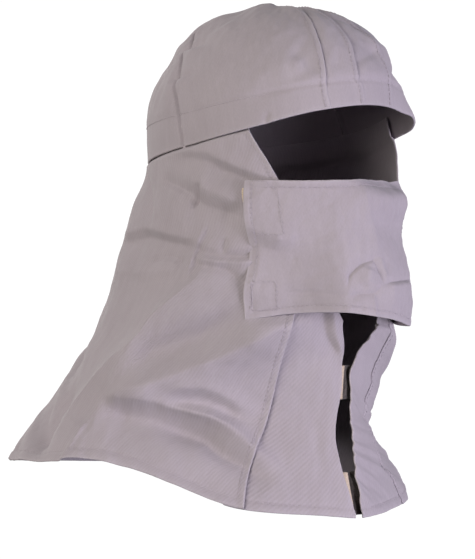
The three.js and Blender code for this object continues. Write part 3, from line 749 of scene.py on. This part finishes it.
def hem_relief(angle, z):
    above = z - hem_z(angle)
    stand = HEM_STAND * rise(HEM_BAND, HEM_BAND - HEM_STEP, above)
    return stand - STITCH_GROOVE * bell(above - HEM_BAND, GROOVE_REACH)


def cape_reach(angle, z):
    """Millimetres to a degree round the cape."""
    return np.linalg.norm(cape_smooth(angle + 0.5, z) - cape_smooth(angle - 0.5, z), axis=-1)


def body_surface(angle, z):
    """The back and sides of the cape, with their rolled edge and turned hem."""
    inwards = (on_right(angle) - body_edge(z)) * cape_reach(angle, z)
    roll = EDGE_ROLL * bell(inwards, EDGE_ROLL_REACH) * (angle < 180)
    groove = EDGE_GROOVE * bell(inwards - EDGE_STITCH, GROOVE_REACH)
    return cape(angle, z, roll - groove + hem_relief(angle, z))


def body_z(angle, down):
    return mix(rim_z(angle) + TUCK, hem_z(angle), down)


def body_chart(across, down):
    right = np.full(np.shape(down), EDGE_GUESS)
    left = 360 - right
    for _ in range(SETTLE_ROUNDS):
        right = body_edge(body_z(right, down))
        left = 360 - body_edge(body_z(left, down))
    angle = mix(right, left, across)
    return angle, body_z(angle, down)


def front_surface(angle, z):
    folds = fold_height(FRONT_FOLDS, cape_chart, angle, z)
    depth = np.where(in_turn(angle) > 180, LEFT_FRONT_DEPTH, FRONT_DEPTH)
    return cape(angle, z, folds + hem_relief(angle, z) - depth)


def angle_at_x(z, x):
    """Angle at which a ring is a given distance from the middle plane, near the front."""
    ring = cape_ring(z)
    return np.degrees(np.arcsin((x / ring["half_width"]) ** (ring["front_power"] / 2)))


def front_chart(side):
    """Places of a front panel, from under the body's edge to the slit, or back again on the right side."""

    def chart(across, down):
        to_slit = 1 - across if side == "right" else across
        top = mix(SEAM_TOP, THROAT, to_slit)
        z = mix(top, HEM["z"][0], down)
        for _ in range(SETTLE_ROUNDS):
            slit = angle_at_x(z, read(SLIT, "z", side, z))
            angle = mix(body_edge(z) + LAP, slit, to_slit)
            angle = angle if side == "right" else 360 - angle
            z = mix(top, hem_z(angle), down)
        return angle, z

    return chart


# Face flap


def flap_end(z):
    return read(FLAP_END, "z", "angle", z)


def flap_edge(edge, angle):
    return read(FLAP_EDGES, "angle", edge, angle)


def flap_smooth(angle, z):
    """The flap lies on the cape at its ends, over the pads, and stands clear of it in between."""
    plain = rise(*FLAP_PLAIN_FROM, angle)
    front_y = mix(read(FLAP_REACH, "z", "front_y", z), read(FLAP_PLAIN, "z", "front_y", z), plain)
    free = ring_point(dict(FLAP_RING, front_y=front_y), angle, z)
    right = rise(*FLAP_SEAT["right"], np.abs(angle))
    left = rise(*FLAP_SEAT["left"], np.abs(angle))
    seated = np.where(angle > 0, right, left)[..., None]
    return mix(free, off_cape(angle, z, FLAP_STAND), seated)


def flap_chart_mm(angle, z):
    return -np.radians(angle) * FLAP_RADIUS, z


def box_path(box, sign):
    """Corners of a stitched box on the right cheek or the left one, as angles and heights."""
    outer, inner, top, bottom, cut = box
    inwards = np.array([outer, outer, inner - cut, inner, inner, outer])
    z = np.array([bottom, top, top, top - cut * BOX_CUT_SLOPE, bottom, bottom])
    return sign * (flap_end(z) - inwards), z


def flap_relief(angle, z):
    folds = fold_height(FLAP_FOLDS, flap_chart_mm, angle, z)
    rough = roughness(FLAP_ROUGH, *flap_chart_mm(angle, z))
    sides = (flap_end(z) - np.abs(angle)) * math.radians(1) * FLAP_RADIUS
    border = np.minimum(np.minimum(sides, flap_edge("top", angle) - z), z - flap_edge("bottom", angle))
    hem = FLAP_HEM_STAND * rise(FLAP_HEM + FLAP_HEM_STEP, FLAP_HEM - FLAP_HEM_STEP, border)
    groove = FLAP_GROOVE * bell(border - FLAP_HEM, FLAP_GROOVE_REACH)
    bulge = LEFT_BULGE["rise"] * bell(z - LEFT_BULGE["z"], LEFT_BULGE["z_reach"])
    bulge = bulge * bell(angle - LEFT_BULGE["angle"], LEFT_BULGE["angle_reach"])
    top_in = LEFT_TOP_IN["depth"] * rise(*LEFT_TOP_IN["z"], z) * rise(*LEFT_TOP_IN["angle"], angle)
    droop = SIDE_DROOP * rise(DROOP_REACH, 0, sides) * rise(*DROOP_LOW, z) * rise(*DROOP_HIGH, z)
    return folds + hem - groove + rough + bulge - top_in - droop


def flap_surface(angle, z):
    out = normal_of(flap_smooth, angle, z, NORMAL_STEP, NORMAL_STEP)
    return flap_smooth(angle, z) + out * flap_relief(angle, z)[..., None]


def flap_chart(across, down):
    angle = mix(-EDGE_GUESS, EDGE_GUESS, across)
    for _ in range(SETTLE_ROUNDS):
        z = mix(flap_edge("top", angle), flap_edge("bottom", angle), down)
        angle = mix(-flap_end(z), flap_end(z), across)
    return angle, z


# Meshes


def shares(count, dense=EVEN):
    """Steps from 0 to 1 with one narrow step at each end, where the edge is turned.

    dense holds a share of the way from 0 and the share of the steps that it gets."""
    edge = END_STEP / count
    even = np.concatenate([[0], np.linspace(edge, 1 - edge, count - 1), [1]])
    return np.interp(even, [0, dense[1], 1], [0, dense[0], 1])


def unit(v):
    return v / np.maximum(np.linalg.norm(v, axis=-1, keepdims=True), 1e-9)


def path_lengths(points, axis):
    """Length along a grid's rows or columns, from 0 at the first one."""
    steps = np.linalg.norm(np.diff(points, axis=axis), axis=-1)
    zero = np.zeros_like(np.take(steps, [0], axis=axis))
    return np.concatenate([zero, np.cumsum(steps, axis=axis)], axis=axis)


def perimeter(rows, cols, step=1):
    """Grid places round the edge, in the way that keeps the shell's faces outwards."""
    top = [(0, c) for c in range(cols, 0, -step)]
    first = [(r, 0) for r in range(0, rows, step)]
    bottom = [(rows, c) for c in range(0, cols, step)]
    last = [(r, cols) for r in range(rows, 0, -step)]
    return tuple(np.array(top + first + bottom + last).T)


def grid_faces(rows, cols):
    index = np.arange((rows + 1) * (cols + 1)).reshape(rows + 1, cols + 1)
    faces = np.stack([index[:-1, :-1], index[:-1, 1:], index[1:, 1:], index[1:, :-1]], -1)
    return index, faces.reshape(-1, 4)


def tube_faces(rings, sides):
    """Faces between closed rings of points."""
    index = np.arange(rings * sides).reshape(rings, sides)
    after = np.roll(index, -1, axis=1)
    return np.stack([index[:-1], after[:-1], after[1:], index[1:]], -1).reshape(-1, 4)


def round_turn(count):
    return np.arange(count) * 2 * math.pi / count


def inner_grid(outer, wall):
    """Every second point of the outer grid, moved in by the wall and behind the creases next to it."""
    inwards = unit(np.cross(np.gradient(outer, axis=0), np.gradient(outer, axis=1)))
    edged = np.pad(outer, ((1, 1), (1, 1), (0, 0)), mode="edge")
    rows, cols = outer.shape[:2]
    behind = np.zeros((rows, cols))
    for r in range(3):
        for c in range(3):
            step = edged[r : r + rows, c : c + cols] - outer
            behind = np.maximum(behind, np.sum(step * inwards, axis=-1))
    inner = outer + inwards * (np.broadcast_to(wall, behind.shape) + behind)[..., None]
    return inner[::2, ::2]


def shell_arrays(outer, wall):
    """Points and faces of a closed shell: a fine outer grid, a coarser inner one and a rounded edge."""
    rows, cols = outer.shape[0] - 1, outer.shape[1] - 1
    inner = inner_grid(outer, wall)
    index, front = grid_faces(rows, cols)
    inner_index, back = grid_faces(rows // 2, cols // 2)
    count, inner_count = index.size, inner_index.size
    edge = perimeter(rows, cols)
    inside = (np.clip(edge[0], 1, rows - 1), np.clip(edge[1], 1, cols - 1))
    away = unit(outer[edge] - outer[inside])
    at_inner = perimeter(rows // 2, cols // 2)
    half = np.repeat(inner[at_inner], 2, axis=0)
    half[1::2] = (half[1::2] + np.roll(half, -1, axis=0)[1::2]) / 2
    turned = (outer[edge] + half) / 2 + away * CLOTH * EDGE_ROUND
    o = index[edge]
    t = np.arange(len(o)) + count + inner_count
    near = np.stack([o, np.roll(o, -1), np.roll(t, -1), t], -1)
    i = inner_index[at_inner] + count
    far = np.stack([t[::2], t[1::2], np.roll(t, -2)[::2], np.roll(i, -1), i], -1)
    points = np.concatenate([outer.reshape(-1, 3), inner.reshape(-1, 3), turned])
    source = np.concatenate([np.arange(count), index[::2, ::2].ravel(), o])
    faces = front.tolist() + (back[:, ::-1] + count).tolist() + near.tolist() + far.tolist()
    return points, faces, source


def new_object(name, points, faces, material):
    """A smooth mesh from points in millimetres."""
    mesh = bpy.data.meshes.new(name)
    mesh.from_pydata((points * MM).tolist(), [], faces)
    mesh.polygons.foreach_set("use_smooth", np.ones(len(mesh.polygons), bool))
    mesh.materials.append(material)
    obj = bpy.data.objects.new(name, mesh)
    bpy.context.scene.collection.objects.link(obj)
    return obj


def write_cloth_uv(obj, uv):
    """The cloth's own coordinates in metres, so that the weave follows the cloth."""
    layer = obj.data.uv_layers.new(name="cloth")
    corner = np.empty(len(obj.data.loops), int)
    obj.data.loops.foreach_get("vertex_index", corner)
    layer.data.foreach_set("uv", uv[corner].astype(np.float32).ravel())


def write_worn(obj, worn):
    attribute = obj.data.attributes.new("worn", "FLOAT", "POINT")
    attribute.data.foreach_set("value", worn.astype(np.float32))


def add_cloth(name, surface, chart, size, wall, material, upright=False, dense=EVEN):
    """A piece of cloth on a grid of columns by rows. wall is a number, or a function of the shares.

    The weave follows the grid, or the height where upright is set, for a piece whose rows are slanted."""
    cols, rows = size
    across, down = np.meshgrid(shares(cols, dense), shares(rows))
    a, b = chart(across, down)
    outer = surface(a, b)
    thickness = wall(across, down) if callable(wall) else wall
    points, faces, source = shell_arrays(outer, thickness)
    obj = new_object(name, points, faces, material)
    u = path_lengths(outer, 1)
    v = path_lengths(outer, 0)
    middle = u[:, cols // 2 : cols // 2 + 1]
    grain = np.stack([a * UPRIGHT_GRAIN, -b] if upright else [u - middle, v], -1)
    write_cloth_uv(obj, (grain.reshape(-1, 2) * MM)[source])
    to_edge = np.minimum(np.minimum(u, u[:, -1:] - u), np.minimum(v, v[-1:] - v)).reshape(-1)
    write_worn(obj, bell(to_edge[source], WORN_REACH))
    return obj


def stitch_arrays(points, normals):
    """Short threads along a line on the cloth. Each rises from the cloth, runs along it and goes back in."""
    along = path_lengths(points, 0)
    starts = np.arange(STITCH_GAP / 2, along[-1] - STITCH_LENGTH, STITCH_LENGTH + STITCH_GAP)
    at = starts[:, None] + STITCH_PROFILE["along"] * STITCH_LENGTH

    def follow(values):
        return np.stack([np.interp(at, along, column) for column in values.T], -1)

    out = unit(follow(normals))
    centre = follow(points) + out * STITCH_PROFILE["out"][:, None]
    side = unit(np.cross(out, np.gradient(centre, axis=1)))
    turn = round_turn(THREAD_SIDES)[:, None]
    ring = side[:, :, None] * np.cos(turn) + out[:, :, None] * np.sin(turn)
    verts = centre[:, :, None] + ring * THREAD
    rings = at.shape[1]
    shift = np.arange(len(starts))[:, None, None] * rings * THREAD_SIDES
    return verts.reshape(-1, 3), (tube_faces(rings, THREAD_SIDES) + shift).reshape(-1, 4)


def line_on(surface, places_a, places_b, step_b=NORMAL_STEP, count=LINE_POINTS):
    """Points and normals along a line of chart places on a surface."""
    places = np.arange(len(places_a))
    at = np.linspace(0, len(places_a) - 1, count)
    a = np.interp(at, places, places_a)
    b = np.interp(at, places, places_b)
    return surface(a, b), normal_of(surface, a, b, LINE_STEP, step_b)


def add_stitches(name, lines, material):
    """All the stitch lines of one piece of cloth, as one object."""
    all_points, all_faces, count = [], [], 0
    for points, normals in lines:
        verts, faces = stitch_arrays(points, normals)
        all_points.append(verts)
        all_faces.append(faces + count)
        count += len(verts)
    return new_object(name, np.concatenate(all_points), np.concatenate(all_faces).tolist(), material)


# Materials


def new_material(name):
    material = bpy.data.materials.new(name)
    material.use_nodes = True
    tree = material.node_tree
    return material, tree, tree.nodes["Principled BSDF"]


def fill(tree, made, links=(), **values):
    """Sets a node's inputs by name. links holds (input name, socket) pairs."""
    for name, value in values.items():
        made.inputs[name.replace("_", " ")].default_value = value
    for name, socket in links:
        tree.links.new(socket, made.inputs[name])
    return made


def node(tree, kind, links=(), **values):
    return fill(tree, tree.nodes.new(kind), links, **values)


def cloth_uv(tree):
    made = tree.nodes.new("ShaderNodeUVMap")
    made.uv_map = "cloth"
    return made.outputs["UV"]


def object_place(tree):
    return tree.nodes.new("ShaderNodeTexCoord").outputs["Object"]


def noise(tree, vector, scale, detail):
    return node(tree, "ShaderNodeTexNoise", [("Vector", vector)], Scale=scale, Detail=detail).outputs["Fac"]


def turned(tree, vector, degrees, stretch=1.0):
    way = (0, 0, math.radians(degrees))
    made = node(tree, "ShaderNodeMapping", [("Vector", vector)], Rotation=way, Scale=(1, stretch, 1))
    return made.outputs["Vector"]


def weighted_sum(tree, start, *terms):
    """start plus each (socket, weight), with each socket taken from its middle."""
    total = None
    for socket, weight in terms:
        step = tree.nodes.new("ShaderNodeMath")
        step.operation = "MULTIPLY_ADD"
        tree.links.new(socket, step.inputs[0])
        step.inputs[1].default_value = weight
        if total is None:
            step.inputs[2].default_value = start - 0.5 * sum(w for _, w in terms)
        else:
            tree.links.new(total, step.inputs[2])
        total = step.outputs[0]
    return total


def ramp(tree, factor, *stops):
    made = node(tree, "ShaderNodeValToRGB", [("Fac", factor)])
    places = np.linspace(0, 1, len(stops))
    while len(made.color_ramp.elements) < len(stops):
        made.color_ramp.elements.new(0.5)
    for element, place, colour in zip(made.color_ramp.elements, places, stops):
        element.position = place
        element.color = (*colour, 1)
    return made.outputs["Color"]


def between(tree, factor, first, second):
    """first where the factor is 0, second where it is 1."""
    made = tree.nodes.new("ShaderNodeMix")
    made.data_type = "RGBA"
    tree.links.new(factor, made.inputs["Factor"])
    tree.links.new(first, made.inputs["A"])
    made.inputs["B"].default_value = (*second, 1)
    return made.outputs["Result"]


def bump(tree, height, strength, distance):
    made = node(tree, "ShaderNodeBump", [("Height", height)], Strength=strength, Distance=distance)
    return made.outputs["Normal"]


def cotton(name, twill_turn, twill):
    """Cotton twill: diagonal lines, uneven yarns, a faint mottle and paler turned edges.

    twill says how plainly the diagonal lines show."""
    material, tree, shader = new_material(name)
    cloth = cloth_uv(tree)
    lines = node(
        tree, "ShaderNodeTexWave", [("Vector", turned(tree, cloth, twill_turn))],
        Scale=WAVE_UNIT / TWILL_PITCH, Distortion=0.8, Detail=2.0, Detail_Scale=0.5,
    ).outputs["Fac"]
    yarn = noise(tree, turned(tree, cloth, twill_turn, 0.3), 1500, 2)
    slub = noise(tree, turned(tree, cloth, twill_turn, 0.15), 260, 3)
    mottle = noise(tree, cloth, 22, 4)
    shade = weighted_sum(tree, 0.5, (lines, 0.2 * twill), (yarn, 0.5), (slub, 0.35), (mottle, 0.55))
    colour = ramp(tree, shade, COTTON_DARK, COTTON_LIGHT)
    worn = node(tree, "ShaderNodeAttribute")
    worn.attribute_name = "worn"
    wear = weighted_sum(tree, 0.1, (worn.outputs["Fac"], 0.2), (slub, 0.1))
    relief = weighted_sum(tree, 0.5, (lines, 0.7 * twill), (yarn, 0.5), (slub, 0.3))
    links = [
        ("Base Color", between(tree, wear, colour, COTTON_WORN)),
        ("Roughness", weighted_sum(tree, 0.9, (yarn, 0.12), (mottle, 0.08))),
        ("Normal", bump(tree, relief, 0.5, 0.0003)),
    ]
    fill(tree, shader, links, Sheen_Weight=0.12, Sheen_Roughness=0.6, Specular_IOR_Level=0.25)
    return material


def thread():
    """Twisted sewing thread of the cloth's own colour."""
    material, tree, shader = new_material("sewing_thread")
    place = object_place(tree)
    twist = noise(tree, place, 2600, 2)
    patch = noise(tree, place, 60, 2)
    colour = ramp(tree, weighted_sum(tree, 0.5, (twist, 0.7), (patch, 0.5)), THREAD_DARK, THREAD_LIGHT)
    links = [("Base Color", colour), ("Normal", bump(tree, twist, 0.5, 0.0002))]
    fill(tree, shader, links, Roughness=0.8, Specular_IOR_Level=0.3)
    return material


def tape_material(name, dark, light, pile, scale):
    """Woven tape with a pile of hooks or loops."""
    material, tree, shader = new_material(name)
    cloth = cloth_uv(tree)
    cells = node(tree, "ShaderNodeTexVoronoi", [("Vector", cloth)], Scale=scale).outputs["Distance"]
    fuzz = noise(tree, cloth, scale * 1.7, 4)
    patch = noise(tree, cloth, 90, 3)
    shade = weighted_sum(tree, 0.5, (cells, 0.7), (fuzz, 0.6), (patch, 0.4))
    relief = weighted_sum(tree, 0.5, (cells, -0.6), (fuzz, 0.5))
    links = [("Base Color", ramp(tree, shade, dark, light)), ("Normal", bump(tree, relief, pile, 0.0006))]
    fill(tree, shader, links, Roughness=0.85, Sheen_Weight=0.2)
    return material


def pale_floor():
    material, tree, shader = new_material("pale_floor")
    shade = noise(tree, object_place(tree), 3, 3)
    soft = ramp(tree, shade, tuple(FLOOR_SHADE * c for c in FLOOR_PALE), FLOOR_PALE)
    fill(tree, shader, [("Base Color", soft)], Roughness=0.9)
    return material


def backdrop_white():
    """Evenly lit white, whatever light falls on it."""
    material, tree, shader = new_material("backdrop_white")
    black, white = (0, 0, 0, 1), (1, 1, 1, 1)
    fill(tree, shader, Base_Color=black, Specular_IOR_Level=0, Emission_Color=white)
    fill(tree, shader, Emission_Strength=BACKDROP_GLOW)
    return material


# Pieces


def settle(obj, slot, *nodes):
    """Every piece rides on the one body and stands for its CAD nodes."""
    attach(obj, "root")
    if nodes:
        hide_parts(*nodes)
    return obj


def cap_stitch_lines(panel):
    """The hem's stitches and, on a lapped seam, a row along the lapped edge."""
    across = np.linspace(*CAP_HEM_LINE)
    up = np.full(len(across), CAP_HEM / CAP_SLOPE)
    hem = mix(panel.low_angle(up), panel.high_angle(up), across)
    lines = [line_on(panel.surface, hem, up, LINE_UP_STEP)]
    if panel.low_lapped:
        up = np.linspace(*LAP_LINE)
        seam = panel.low_angle(up)
        seam = seam + np.degrees(LAP_STITCH / cap_reach(seam, up))
        lines.append(line_on(panel.surface, seam, up, LINE_UP_STEP))
    return lines


def build_cap(cloth, sewing):
    def wall(across, down):
        return mix(HEM_CLOTH, CLOTH, rise(CAP_HEM, CAP_HEM + HEM_EASE, (1 - down) * CAP_SLOPE))

    for name, low, high, cols, flat, area, dense in CAP_PANELS:
        panel = CapPanel(low, high)
        grid = (cols, CAP_ROWS)
        obj = add_cloth(name + "_cloth", panel.surface, panel.chart, grid, wall, cloth, dense=dense)
        settle(obj, "cotton", name)
        stitches = settle(add_stitches(name + "_stitches", cap_stitch_lines(panel), sewing), "cotton")


def hem_line(surface, line):
    angle = np.linspace(*line)
    return line_on(surface, angle, hem_z(angle) + HEM_BAND, count=HEM_LINE_POINTS)


def body_edge_line(side):
    """Stitches along the face opening and down the seam, just in from the body's edge."""
    z = np.linspace(*BODY_EDGE_LINE)
    angle = body_edge(z) + EDGE_STITCH / cape_reach(body_edge(z), z)
    angle = angle if side == "right" else 360 - angle
    above = z > hem_z(angle) + EDGE_LINE_CLEAR
    return line_on(body_surface, angle[above], z[above], count=LONG_LINE_POINTS)


def build_cape(body_cloth, front_cloth, sewing):
    body = add_cloth(
        "cape_body_cloth", body_surface, body_chart, BODY_GRID, CLOTH, body_cloth, dense=BODY_DENSE,
    )
    settle(body, "cotton", "cape_body")
    lines = [body_edge_line("right"), body_edge_line("left"), hem_line(body_surface, BODY_HEM_LINE)]
    stitches = settle(add_stitches("cape_body_stitches", lines, sewing), "cotton")
    for side in ("right", "left"):
        name = f"cape_front_{side}"
        chart = front_chart(side)
        panel = add_cloth(
            name + "_cloth", front_surface, chart, FRONT_GRID, CLOTH, front_cloth, upright=True,
        )
        settle(panel, "cotton", name)
        hem = hem_line(front_surface, FRONT_HEM_LINES[side])
        stitches = settle(add_stitches(name + "_stitches", [hem], sewing), "cotton")


def flap_stitch_lines():
    """The stitched border and the boxes over the pads."""
    inset = math.degrees(FLAP_HEM / FLAP_RADIUS)

    def border(edge, shift):
        angle = np.linspace(*FLAP_BORDER_LINE)
        z = flap_edge(edge, angle) + shift
        inside = np.abs(angle) < flap_end(z) - inset
        return line_on(flap_surface, angle[inside], z[inside], count=LONG_LINE_POINTS)

    lines = [border("top", -FLAP_HEM), border("bottom", FLAP_HEM)]
    z = np.linspace(*FLAP_SIDE_LINE)
    for sign in (1, -1):
        lines.append(line_on(flap_surface, sign * (flap_end(z) - inset), z))
        lines += [line_on(flap_surface, *box_path(box, sign)) for box in FLAP_BOXES]
    return lines


def build_flap(cloth, sewing):
    flap = add_cloth("face_flap_cloth", flap_surface, flap_chart, FLAP_GRID, CLOTH, cloth)
    settle(flap, "cotton", "face_flap")
    stitches = settle(add_stitches("face_flap_stitches", flap_stitch_lines(), sewing), "cotton")


def pad_chart(pad, sign):
    _, start_top, start_bottom, end, top, bottom = pad

    def chart(across, down):
        z = mix(top, bottom, down)
        near, far = flap_end(z) - end, flap_end(z) - mix(start_top, start_bottom, down)
        return sign * mix(near, far, across if sign > 0 else 1 - across), z

    return chart


def build_pads(material):
    def surface(angle, z):
        on_cape = cape_relief(angle, z) + GAP + TAPE
        below_flap = FLAP_STAND + flap_relief(angle, z) - CLOTH - PAD_CLEAR
        return off_cape(angle, z, np.minimum(on_cape, below_flap))

    for pad in PADS:
        for side, sign in (("right", 1), ("left", -1)):
            name = f"{pad[0]}_{side}"
            obj = add_cloth(name + "_tape", surface, pad_chart(pad, sign), PAD_GRID, TAPE, material)
            settle(obj, "hook_and_loop", name)


def tape_surface(depth, bend):
    """A tape behind the cape's face, read by distance to the right and height.

    bend is how much farther back its right end lies."""

    def surface(to_right, z):
        angle = np.sign(to_right) * angle_at_x(z, np.abs(to_right))
        facing = np.maximum(LEAST_FACING, np.abs(cape_normal(angle, z)[..., 1]))
        point = cape(angle, z)
        point[..., 1] += (depth + bend * rise(*LOOP_BEND, to_right)) / facing
        return point

    return surface


def tape_chart(tape, half):
    def chart(across, down):
        return mix(*tape[half], across), mix(tape["top"], tape["bottom"], down)

    return chart


def build_tapes(hook_material, loop_painted_shade_material):
    for tape in TAPES:
        depth = FRONT_DEPTH + tape["wall"] + GAP
        for half, bend, material in (("hook", 0, hook_material), ("loop", TAPE + GAP, loop_painted_shade_material)):
            name = f"{tape['name']}_{half}"
            surface = tape_surface(depth, bend)
            obj = add_cloth(name + "_strip", surface, tape_chart(tape, half), TAPE_GRID, TAPE, material)
            settle(obj, "hook_and_loop", name)


# Stage


def camera_axes():
    turn = math.radians(CAMERA_TURN)
    right = Vector((math.cos(turn), math.sin(turn), 0))
    back = Vector((math.sin(turn), -math.cos(turn), 0))
    return right, Vector((0, 0, 1)), back


def camera_target():
    right, up, _ = camera_axes()
    across = (IMAGE_WIDTH / 2 - AXIS_PIXEL) * MM_PER_PIXEL
    height = TOP_Z - (IMAGE_HEIGHT / 2 - TOP_PIXEL) * MM_PER_PIXEL
    return (right * across + up * height) * MM


def add_camera():
    right, up, back = camera_axes()
    data = bpy.data.cameras.new("camera")
    data.sensor_width = SENSOR
    data.lens = CAMERA_DISTANCE / MM_PER_PIXEL * SENSOR / IMAGE_HEIGHT
    camera = bpy.data.objects.new("camera", data)
    place = camera_target() + back * CAMERA_DISTANCE * MM
    camera.matrix_world = Matrix.Translation(place) @ Matrix((right, up, back)).transposed().to_4x4()
    bpy.context.scene.collection.objects.link(camera)
    bpy.context.scene.camera = camera


def add_world():
    """Soft light from above."""
    world = bpy.data.worlds.new("studio")
    world.use_nodes = True
    tree = world.node_tree
    way = tree.nodes.new("ShaderNodeTexCoord").outputs["Generated"]
    height = node(tree, "ShaderNodeSeparateXYZ", [("Vector", way)]).outputs["Z"]
    share = weighted_sum(tree, 0.75, (height, 0.5))
    tree.links.new(ramp(tree, share, SKY_LOW, SKY_LEVEL, SKY_HIGH), tree.nodes["Background"].inputs["Color"])
    bpy.context.scene.world = world


def add_lights():
    right, up, back = camera_axes()
    for name, to_right, towards, height, size, power, colour in LIGHTS:
        data = bpy.data.lights.new(name, "AREA")
        data.size = size
        data.energy = power
        data.color = colour
        light = bpy.data.objects.new(name, data)
        place = camera_target() + right * to_right + back * towards + up * height
        light.location = place
        light.rotation_mode = "QUATERNION"
        light.rotation_quaternion = (camera_target() - place).to_track_quat("-Z", "Y")
        bpy.context.scene.collection.objects.link(light)
    bpy.context.scene.view_settings.view_transform = "Standard"


def only_seen(obj):
    """The stage is seen but throws no light on the cloth."""
    obj.visible_diffuse = False
    obj.visible_glossy = False
    obj.visible_shadow = False
    return obj


def add_floor():
    turn = round_turn(FLOOR_SIDES)
    level = np.full(FLOOR_SIDES, FLOOR_Z)
    edge = np.stack([np.cos(turn) * FLOOR_RADIUS, np.sin(turn) * FLOOR_RADIUS, level], -1)
    points = np.concatenate([edge, [[0, 0, FLOOR_Z]]])
    faces = [[i, (i + 1) % FLOOR_SIDES, FLOOR_SIDES] for i in range(FLOOR_SIDES)]
    only_seen(new_object("floor", points, faces, pale_floor()))


def add_backdrop():
    """A wide white dome all round."""
    rings = np.radians(np.linspace(-90, 90, BACKDROP_RINGS))
    height, turn = np.meshgrid(rings, round_turn(BACKDROP_SIDES), indexing="ij")
    dome = np.stack([np.cos(height) * np.cos(turn), np.cos(height) * np.sin(turn), np.sin(height)], -1)
    points = dome.reshape(-1, 3) * BACKDROP_RADIUS
    faces = tube_faces(BACKDROP_RINGS, BACKDROP_SIDES)[:, ::-1].tolist()
    only_seen(new_object("backdrop", points, faces, backdrop_white()))


sewing = thread()
build_cap(cotton("cotton_cap", 25, 0.2), sewing)
build_cape(cotton("cotton_cape", 15, 0.9), cotton("cotton_front", 38, 0.9), sewing)
build_pads(tape_material("hook_pad", HOOK_DARK, HOOK_LIGHT, 0.6, 900))
build_flap(cotton("cotton_flap", 30, 0.2), sewing)
build_tapes(
    tape_material("hook_tape", HOOK_DARK, HOOK_LIGHT, 0.6, 900),
    # the loop tape's colours carry painted shade
    tape_material("loop_tape_painted_shade", LOOP_PAINTED_SHADE_DARK, LOOP_PAINTED_SHADE_LIGHT, 0.9, 700),
)
add_camera()
add_world()
add_lights()
add_floor()
add_backdrop()
